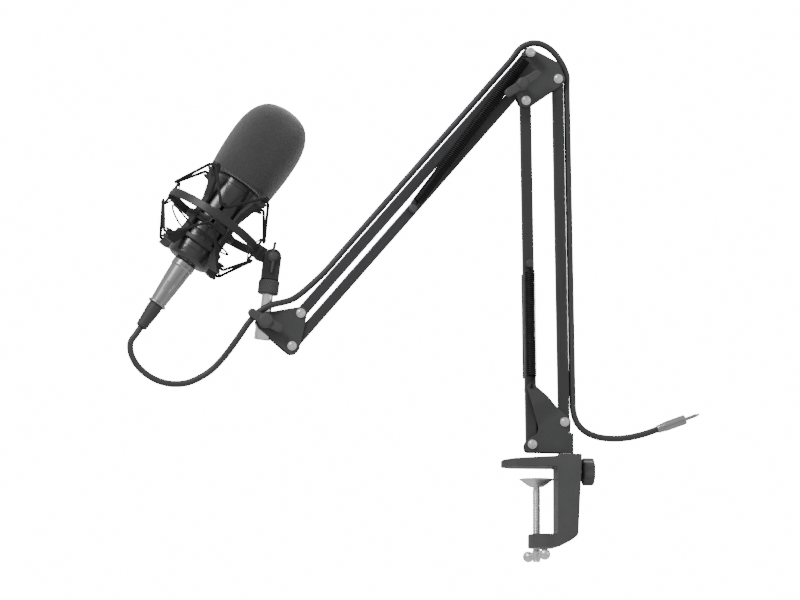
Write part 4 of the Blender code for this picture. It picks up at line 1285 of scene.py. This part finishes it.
def wing_radius(hub, reach, tip):
    """Outline of a two-winged nut as a radius for each angle, hub and wings run together."""
    def radius(a):
        ahead, across = abs(cos(a)), abs(sin(a))
        edge = tip / across if across > 1e-6 else 1e9
        if edge * ahead > reach:
            root = max(0.0, tip * tip - (reach * across) ** 2)
            edge = reach * ahead + root ** 0.5
        return (hub ** 9 + edge ** 9) ** (1 / 9)
    return radius


def wing_nut(name, point, back, neck, hub, reach, tip, thick, turn, body):
    shape = wing_radius(hub, reach, tip)
    face = back + neck
    top = face + thick
    wing = top - 2.4
    head = [(0, face), (0.9, face, True), (0.96, face + 0.25, True), (1.0, face + 0.9, True),
            (1.0, wing - 1.5, True), (0.985, wing - 0.9, True), (0.95, wing - 0.4, True),
            (0.9, wing - 0.15, True), (0.84, wing, True), (hub * 0.98, wing + 0.05),
            (hub * 0.93, wing + 0.5), (hub * 0.9, top - 0.8), (hub * 0.8, top - 0.25),
            (hub * 0.62, top), (hub * 0.3, top - 0.05), (0, top - 0.1)]
    neck_part = [(BOLT_R, back), (hub * 0.66, back, 0.2), (hub * 0.72, back + neck * 0.5, 0.3),
                 (hub * 0.78, face + 0.6, 0), (BOLT_R, face + 0.6)]
    angles = sorted(set([tau * k / 120 for k in range(120)]
                        + [s + d for s in (0, pi) for d in (-0.012, 0.012, 0.03)]))
    bm = spin(head, shape=shape, angles=[a % tau for a in angles])
    if neck > 1:
        bm = merge(bm, lathe(neck_part, 40, 0.2))
    piece(name + "_moulding", bm, "knob_plastic", body, name, facing(point, turn), 50)


def build_elbow():
    circles = [(E3, 6.5), ((18.0, 404.0), 6.0), (E2, 7.0), (E1, 7.0), (E4, 8.0)]
    holes = [(p, PLATE_HOLE) for p in (E1, E2, E3, E4)]
    plate("elbow_plate_front", circles, holes, -1, "elbow")
    plate("elbow_plate_rear", circles, holes, 1, "elbow")
    through_bolt("elbow_bolt_front", E1, "elbow")
    through_bolt("elbow_bolt_back", E2, "elbow")
    reach = 21.0
    sleeve = [(BOLT_R - 0.2, PLATE_OUT), (3.0, PLATE_OUT, 0), (3.0, 11.0, 0.2),
              (BOLT_R - 0.2, 11.0)]
    bm = merge(hex_head(reach, 4.0, 3.4), washer(reach - 0.7, 4.9), shank(-reach, reach),
               flip(merge(washer(reach - 0.7, 4.9), nut(reach))), both_ends(sleeve, 28, 0.2))
    piece("elbow_spring_bolt_set", bm, "bright_steel", "elbow", "elbow_spring_bolt",
          facing(E3), 30)
    back = PLATE_FACE
    spacer = [(0, back), (3.4, back, 0.2), (3.4, 20.7, 0.3), (BOLT_R, 20.7, 0), (BOLT_R, 29.5, 0),
              (0, 29.5)]
    bm = merge(lathe(spacer, 32, 0.2), shank(-back, back),
               flip(merge(washer(back), hex_head(back + 0.4, 4.0, 3.0))))
    piece("elbow_wing_bolt_set", bm, "bright_steel", "elbow", "elbow_wing_bolt", facing(E4), 30)
    wing_nut("elbow_wing_nut", E4, 21.0, 3.0, 6.1, 17.0, 4.3, 9.0, 33.5, "elbow_wing")


def build_head():
    circles = [(W, 9.0), (A, 6.5), (B, 8.0)]
    holes = [(W, 3.5), (A, PLATE_HOLE), (B, PLATE_HOLE)]
    plate("head_plate_front", circles, holes, -1, "head")
    plate("head_plate_rear", circles, holes, 1, "head")
    through_bolt("head_bolt_top", A, "head")
    through_bolt("head_bolt_bottom", B, "head")
    back = PLATE_FACE
    bm = merge(shank(-back, back, 3.2), shank(back, 19.0),
               flip(merge(washer(back, 6.0), hex_head(back + 0.4, 4.7, 3.0))))
    piece("head_wing_bolt_set", bm, "bright_steel", "head", "head_wing_bolt", facing(W), 30)
    wing_nut("head_wing_nut", W, back, 7.9, 7.6, 15.3, 4.5, 6.5, -28.9, "head_wing")


# ---------------------------------------------------------------- post, collar and clevis

def build_post():
    place = POST_FRAME
    profile = [(0, -17.5), (8.2, -17.5, 0.7), (8.2, 9.8, 0.5), (STUD_R, 10.4, 0.3),
               (STUD_R, 27.0, 0)]
    thread = []
    for k in range(16):
        z = 27.4 + 1.5 * k
        thread += [(STUD_R, z, 0), (STUD_R, z + 0.3, 0), (STUD_R - 0.6, z + 0.75, 0),
                   (STUD_R, z + 1.2, 0)]
    thread = [p for p in thread if p[1] < 51.0]
    end = [(STUD_R - 0.7, 51.8, 0), (0, 51.8)]
    shaft = lathe(profile + thread + end, 72, 0.4)
    frame_loop = [(-14, -22), (14, -22), (14, 56), (-14, 56)]
    flats = slab([frame_loop, circle((0, 0), 3.5, 32)], -5.8, 5.8, 0.01, 1)
    piece("post_turned", carve(shaft, [flats], "INTERSECT"), "chrome", "post",
          "threaded_post", place, 30)
    build_collar(place)
    build_clevis(place)


def build_collar(place):
    """Ring nut with a diamond knurl."""
    around, rows = 196, 30
    low, high, top_r = COLLAR_LOW, COLLAR_HIGH, 10.7
    bm = bmesh.new()
    grid = []
    bore = STUD_R + GAP
    profile = [(bore, low + 0.4), (bore + 0.4, low), (top_r - 1.2, low)]
    profile += [(None, low + 0.7 + (high - low - 1.4) * k / rows) for k in range(rows + 1)]
    profile += [(top_r - 1.2, high), (bore + 0.4, high), (bore, high - 0.4)]
    for r, z in profile:
        row = []
        for j in range(around):
            a = tau * j / around
            out = r
            if r is None:
                one, two = abs(sin(14 * a + 0.62 * z)), abs(sin(14 * a - 0.62 * z))
                end = min(1.0, (z - low - 0.5) / 0.7, (high - 0.5 - z) / 0.7)
                out = top_r - 0.75 + 0.7 * min(one, two) ** 0.7 * max(0.0, end)
            row.append(bm.verts.new((out * cos(a), out * sin(a), z)))
        grid.append(row)
    loft(bm, grid, True)
    piece("collar_knurled", bm, "knob_plastic", "collar", "knurled_collar", place, 60, False)


def build_clevis(place):
    foot = COLLAR_HIGH + GAP
    top = circle((0, PIVOT_RISE), CLEVIS_HALF, 25, 0, 180)
    hole = circle((0, PIVOT_RISE), BOLT_R + GAP, 24)
    outline = dense([(-CLEVIS_HALF, foot), (CLEVIS_HALF, foot)] + top, 3.0)
    fork = slab([outline, hole], -CLEVIS_Y, CLEVIS_Y, 0.9, 4)
    slot = box((-12, -EAR_IN, 54.5), (12, EAR_IN, PIVOT_RISE + 14), 0.8)
    bore = STUD_R + GAP
    socket = spin([(0, foot - 3), (bore, foot - 3), (bore, 52.3), (0, 52.3)], 40)
    piece("clevis_fork", carve(fork, [slot, socket]),
          "mount_plastic", "clevis", "clevis", place, 35)

    pivot = TILT_PIVOT
    front = CLEVIS_Y + GAP
    half, disc = 1.45, 5.1
    lift = (disc * disc - half * half) ** 0.5
    up, down = (2.3, 15.0), (-2.0, -16.2)
    arm = [(half, lift, 1.5), (up[0] + half, up[1], 1.0), (up[0] - half, up[1], 1.0),
           (-half, lift, 1.5)]
    arm += arc_points((0, 0), disc, 25, 118, 242)
    arm += [(-half, -lift, 1.5), (down[0] - half + 0.3, down[1], 1.0),
            (down[0] + half - 0.3, down[1], 1.0), (half, -lift, 1.5)]
    arm += arc_points((0, 0), disc, 25, -62, 62)
    lever = slab([rounded(arm, 1.0)], -front - 3.4, -front, 0.8, 4)
    dome = [(0, front + 3.2), (3.9, front + 3.2), (3.9, front + 4.1, 0.5),
            (3.0, front + 4.9, 0.6), (0, front + 5.1)]
    cap = moved(lathe(dome, 40, 0.4), rotation(90, "X"))
    piece("tilt_lever_arm", merge(lever, cap), "knob_plastic", "tilt_lever", "tilt_lever",
          lean(pivot, 0), 50)
    bm = merge(shank(-front, front + 3.0), flip(merge(washer(front - 0.2, 5.0),
                                                      nut(front + 0.2, 4.0, 2.4))))
    piece("tilt_screw_set", bm, "bright_steel", "tilt_lever", "tilt_screw", facing(pivot), 30)


# ---------------------------------------------------------------- shock mount

def around(loops, half, first, edge=0.7):
    """Four copies of an XZ outline, a quarter turn apart about Z."""
    copies = []
    for k in range(4):
        bm = slab(loops, -half, half, edge, 3)
        copies.append(moved(bm, rotation(90 * k + first, "Z")))
    return copies


def button(azimuth, r, h, size=1.4):
    """Small cross-less screw head standing out from a round wall."""
    profile = [(0, -0.8), (size, -0.8), (size, 0.35, 0.3), (size * 0.55, 0.6, 0.2),
               (size * 0.45, 0.25, 0.1), (0, 0.2)]
    turn = (rotation(azimuth, "Z") @ shift(r, 0, h)
            @ rotation(90, "Y"))
    return moved(lathe(profile, 20, 0.2), turn)


def laced(corners, reach=2.2, step=2.0):
    """Closed 3D line through corners, each turned on a small curve."""
    out = []
    count = len(corners)
    for k, here in enumerate(corners):
        back, ahead = corners[k - 1] - here, corners[(k + 1) % count] - here
        first = here + back.normalized() * min(reach, back.length * 0.4)
        last = here + ahead.normalized() * min(reach, ahead.length * 0.4)
        out += corner(first, here, last, 5)
        gap = corners[(k + 1) % count] - ahead.normalized() * min(reach, ahead.length * 0.4)
        run = gap - last
        for j in range(1, max(1, int(run.length / step))):
            out.append(last + run * (j * step / run.length))
    return out


def build_shock_ring():
    place = MIC_FRAME
    hoop = lathe([(49.0, -4.3), (52.5, -4.3), (52.5, 4.3), (49.0, 4.3)], 144, 0.9, 4)
    half = [(PEG_OUT, 13.0, 0.5), (54.3, 13.1, 0.6), (54.3, 14.4, 0.6), (50.0, 14.4, 1.2),
            (48.4, 12.4, 1.5), (44.3, 4.2, 1.0)]
    hole = [(46.6, 5.8, 0.5), (50.2, 5.8, 0.5), (50.2, 10.4, 0.5), (49.3, 10.8, 0.5)]
    mirror = lambda loop: [(x, -z, r) for x, z, r in reversed(loop)]
    loops = [rounded(half + mirror(half), 0.8), rounded(hole, 0.4), rounded(mirror(hole), 0.4)]
    pegs = around(loops, 2.0, 0.0, 0.35)
    for k in range(4):
        for s in (-1, 1):
            low, high = sorted((s * 5.6, s * 13.0))
            block = box((48.8, -3.3, low), (PEG_OUT, 3.3, high), 0.8)
            pegs.append(moved(block, rotation(90 * k, "Z")))
    screws = [button(a, 52.4, 0.0) for a in (90, 180, 270)]
    piece("shock_hoop", merge(hoop, *pegs, *screws), "mount_plastic", "shock_ring",
          "outer_ring", place, 45)

    local = place.inverted() @ flat(TILT_PIVOT)
    pivot = (local.x, local.z)
    tip = arc_points(pivot, 7.5, 25, -75, 75)
    keel = [(57.4, -7.6, 1.0), (54.8, -7.6, 0.9), (52.5 + GAP, -6.0, 0.9)]
    lug = [(52.5 + GAP, 6.0, 0.9), (54.5, 7.3, 1.0), (62.5, 7.4, 2.0)]
    loops = [rounded(keel[::-1] + tip + lug[::-1], 0.8), circle(pivot, BOLT_R + GAP, 24)]
    tongue = slab(loops, -EAR_IN + GAP, EAR_IN - GAP, 0.5, 3)
    block = box((50.0, -6.3, -6.6), (56.8, 6.3, 6.9), 1.0)
    piece("ring_arm_lug", merge(tongue, block), "mount_plastic", "shock_ring", "ring_arm",
          place, 45)
    for name, peg, hook in (("elastic_upper", 11.2, 41.5), ("elastic_lower", -11.2, -39.5)):
        corners = []
        for k in range(4):
            r = PEG_OUT + GAP + ELASTIC_R
            corners += [polar(90 * k, r, t, peg) for t in (-3.7, 3.7)]
            r = HOOK_OUT + GAP + ELASTIC_R
            corners += [polar(90 * k + 45, r, t, hook) for t in (-5.0, 5.0)]
        bm = sweep(laced(corners), ELASTIC_R, 12, True, Vector((0, 0, 1)))
        obj = piece(name + "_cord", bm, "elastic_cord", None, name, place, 70, False)
        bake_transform(obj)


def build_cradle():
    place = MIC_FRAME
    inner = BODY_R + GAP + 0.1
    band = lathe([(inner, -9.5), (27.4, -9.5), (27.4, -2.5), (inner, -2.5)], 96, 0.6)
    foot = lathe([(inner, -30.4), (26.4, -30.4), (26.4, -25.4), (inner, -25.4)], 96, 0.8)
    strut = [(24.6, -31.5, 2), (31.5, -44.6, 3), (41.2, -45.0, 1.0), (44.9, -44.6, 0.8),
             (44.9, -41.4, 0.5), (HOOK_OUT, -41.2, 0.4), (HOOK_OUT, -37.8, 0.4),
             (46.6, -37.4, 0.7), (46.4, -35.3, 0.8), (36.0, -34.4, 3), (30.0, -27.0, 6),
             (28.9, -15.0, 8), (28.6, 14.0, 14), (36.4, 34.2, 6), (46.4, 37.0, 0.8),
             (46.6, 39.4, 0.7), (HOOK_OUT, 39.8, 0.4), (HOOK_OUT, 43.2, 0.4),
             (44.9, 43.4, 0.5), (44.9, 46.4, 0.8), (40.0, 46.6, 1.6), (36.8, 44.0, 3),
             (25.0, 18.0, 16)]
    struts = around([dense(rounded(strut, 1.0, 8), 3.0)], 3.5, 45.0, 0.45)
    screws = [button(a, 28.8, -6.0, 1.2) for a in (45, 135, 225, 315)]
    piece("cradle_frame", merge(band, foot, *struts, *screws), "mount_plastic", "cradle",
          "cradle_cage", place, 45)
    corners = []
    for k in range(72):
        a = tau * k / 72
        bulge = max(0.0, cos(a - radians(187))) ** 6
        r = 30.4 + 12.5 * bulge + 0.35 * sin(5 * a)
        corners.append(Vector((r * cos(a), r * sin(a), -19.5 + 9.0 * bulge + 0.8 * sin(2 * a))))
    bm = sweep(corners, 0.95, 10, True, Vector((0, 0, 1)))
    piece("spare_elastic", bm, "elastic_cord", "cradle", (), place, 70, False)


# ---------------------------------------------------------------- microphone

def build_microphone():
    place = MIC_FRAME
    inner = BODY_R - 1.8
    shell = [(inner, -30.7, 0.2), (BODY_R - 0.2, -30.7, 0.4), (BODY_R, -28.6, 0.3),
             (BODY_R, 38.4, 0.1), (BODY_R - 0.35, 38.6, 0.1), (BODY_R - 0.35, 39.1, 0.1),
             (BODY_R, 39.3, 0.1), (BODY_R, 45.0, 0.5), (inner, 45.0, 0.2)]
    piece("mic_shell", lathe(shell, 128, 0.3), "mic_enamel", "cradle",
          "mic_body", place, 35)
    base = [(10.0, -49.0, 0.3), (19.6, -49.0, 1.4), (BODY_R, -46.2, 1.2),
            (BODY_R, -37.6, 0.15), (BODY_R - 0.35, -37.4, 0.1), (BODY_R - 0.35, -36.9, 0.1),
            (BODY_R, -36.7, 0.15), (BODY_R, -31.0, 0.4), (17.5, -31.0, 0.3),
            (17.5, -36.0, 0.3), (10.0, -37.0, 0.3)]
    piece("mic_foot", lathe(base, 128, 0.3), "mic_enamel", "cradle",
          "mic_base_ring", place, 35)
    build_foam(place)
    build_xlr(place)


def foam_profile(rows):
    """Outer side of the windscreen from its lower rim to its crown, as (radius, height)."""
    guides = [(33.2, 45.3), (34.5, 46.6), (35.0, 52.0), (36.2, 66.0), (36.75, 80.0),
              (36.7, 90.0), (35.5, 104.0), (31.2, 117.8), (22.9, 128.4), (11.6, 133.2),
              (0.0, 134.4)]
    line = through([(r, 0, z) for r, z in guides], 40)
    marks = arc_marks(line)
    return [at_arc(line, marks, marks[-1] * k / rows) for k in range(rows + 1)]


def build_foam(place):
    """Open-cell windscreen, its skin lifted and sunk by fine noise."""
    rows = 180
    angles = [tau * j / 280 for j in range(280)]
    bm = bmesh.new()
    inside_line = [(0, 122.5), (13.0, 119.0), (20.3, 109.3), (22.4, 98.0), (22.4, 60.0),
                   (22.4, 46.6), (23.4, 45.3)]
    grid = [lathe_row(bm, entry, angles) for entry in inside_line]
    line = foam_profile(rows)
    for k, p in enumerate(line):
        if k == rows:
            grid.append([bm.verts.new((0, 0, p.z))])
            continue
        ahead = (line[k + 1] - line[max(0, k - 1)]).normalized()
        row = []
        for a in angles:
            spot = Vector((p.x * cos(a), p.x * sin(a), p.z))
            out = Vector((ahead.z * cos(a), ahead.z * sin(a), -ahead.x))
            lift = 0.16 * noise.noise(spot * 0.85) + 0.13 * noise.noise(spot * 0.25)
            row.append(bm.verts.new(spot + out * lift))
        grid.append(row)
    loft(bm, grid)
    obj = piece("foam_cover", bm, "foam", "cradle", "foam_windscreen", place, 180, False)


XLR_LINE = [(11.0, -58.4), (10.4, -72.0), (9.0, -90.0), (8.2, -99.0)]


def xlr_radius(z):
    for (r0, z0), (r1, z1) in zip(XLR_LINE, XLR_LINE[1:]):
        if z1 <= z <= z0:
            return r0 + (r1 - r0) * (z - z0) / (z1 - z0)
    return XLR_LINE[0][0]


def build_xlr(place):
    socket = [(0, -50.6), (9.6, -50.6, 0.4), (9.6, -34.4, 0.3), (0, -34.4)]
    piece("xlr_socket_turned", lathe(socket, 48, 0.4), "connector_metal",
          "cradle", "xlr_socket", place)
    shell = [(0, -49.6), (11.2, -49.6, 0.5), (12.0, -51.8, 0.4), (12.0, -54.6, 0.1),
             (11.75, -54.8, 0.1), (11.75, -55.2, 0.1), (12.0, -55.4, 0.1), (12.0, -57.3, 0.4),
             (11.1, -58.2, 0.4)] + [(r, z, 6) for r, z in XLR_LINE[1:-1]]
    shell += [(8.3, -98.6, 0.5), (9.4, -99.2, 0.5), (9.8, -99.9, 0.4), (9.8, -101.1, 0.4),
              (9.2, -101.6, 0.3), (0, -101.6)]
    parts = [lathe(shell[::-1], 96, 0.4, 5)]
    on_wall = lambda a, z: Vector((xlr_radius(z) * sin(radians(a)),
                                   -xlr_radius(z) * cos(radians(a)), z))
    lines = [[on_wall(a, -76.6 - 1.25 * k) for a in range(-24, 25, 6)] for k in range(8)]
    lines += [[on_wall(a, z) for z in (-76.2, -79.0, -82.0, -85.8)] for a in (-24, 24)]
    parts += [sweep(line, 0.32, 8) for line in lines]
    piece("xlr_shell", merge(*parts), "connector_metal", "cradle", "xlr_plug", place, 35)
    boot = [(0, -101.2), (7.2, -101.2, 0.4), (7.6, -103.2, 0.2), (7.25, -103.6, 0.2),
            (7.25, -104.4, 0.2), (7.55, -104.8, 0.2), (7.5, -108.0, 2), (6.4, -120.0, 2),
            (6.0, -127.9, 0.8), (4.8, -129.2, 0.6), (0, -129.2)]
    piece("xlr_boot_sleeve", lathe(boot[::-1], 64, 0.4, 4), "cable_rubber",
          "cradle", "xlr_boot", place)


def finish_inner_nodes():
    """The three solids inside the windscreen and body stay as they are, in finished materials."""
    for name, slot in (("capsule", "brass"), ("circuit_board", "board_green"),
                       ("head_basket", "basket_mesh")):
        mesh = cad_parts[name].data
        mesh.materials.clear()
        mesh.materials.append(SKINS[slot])


build_clamp()
build_base()
build_arms()
build_elbow()
build_head()
build_post()
build_shock_ring()
build_cradle()
build_microphone()
finish_inner_nodes()
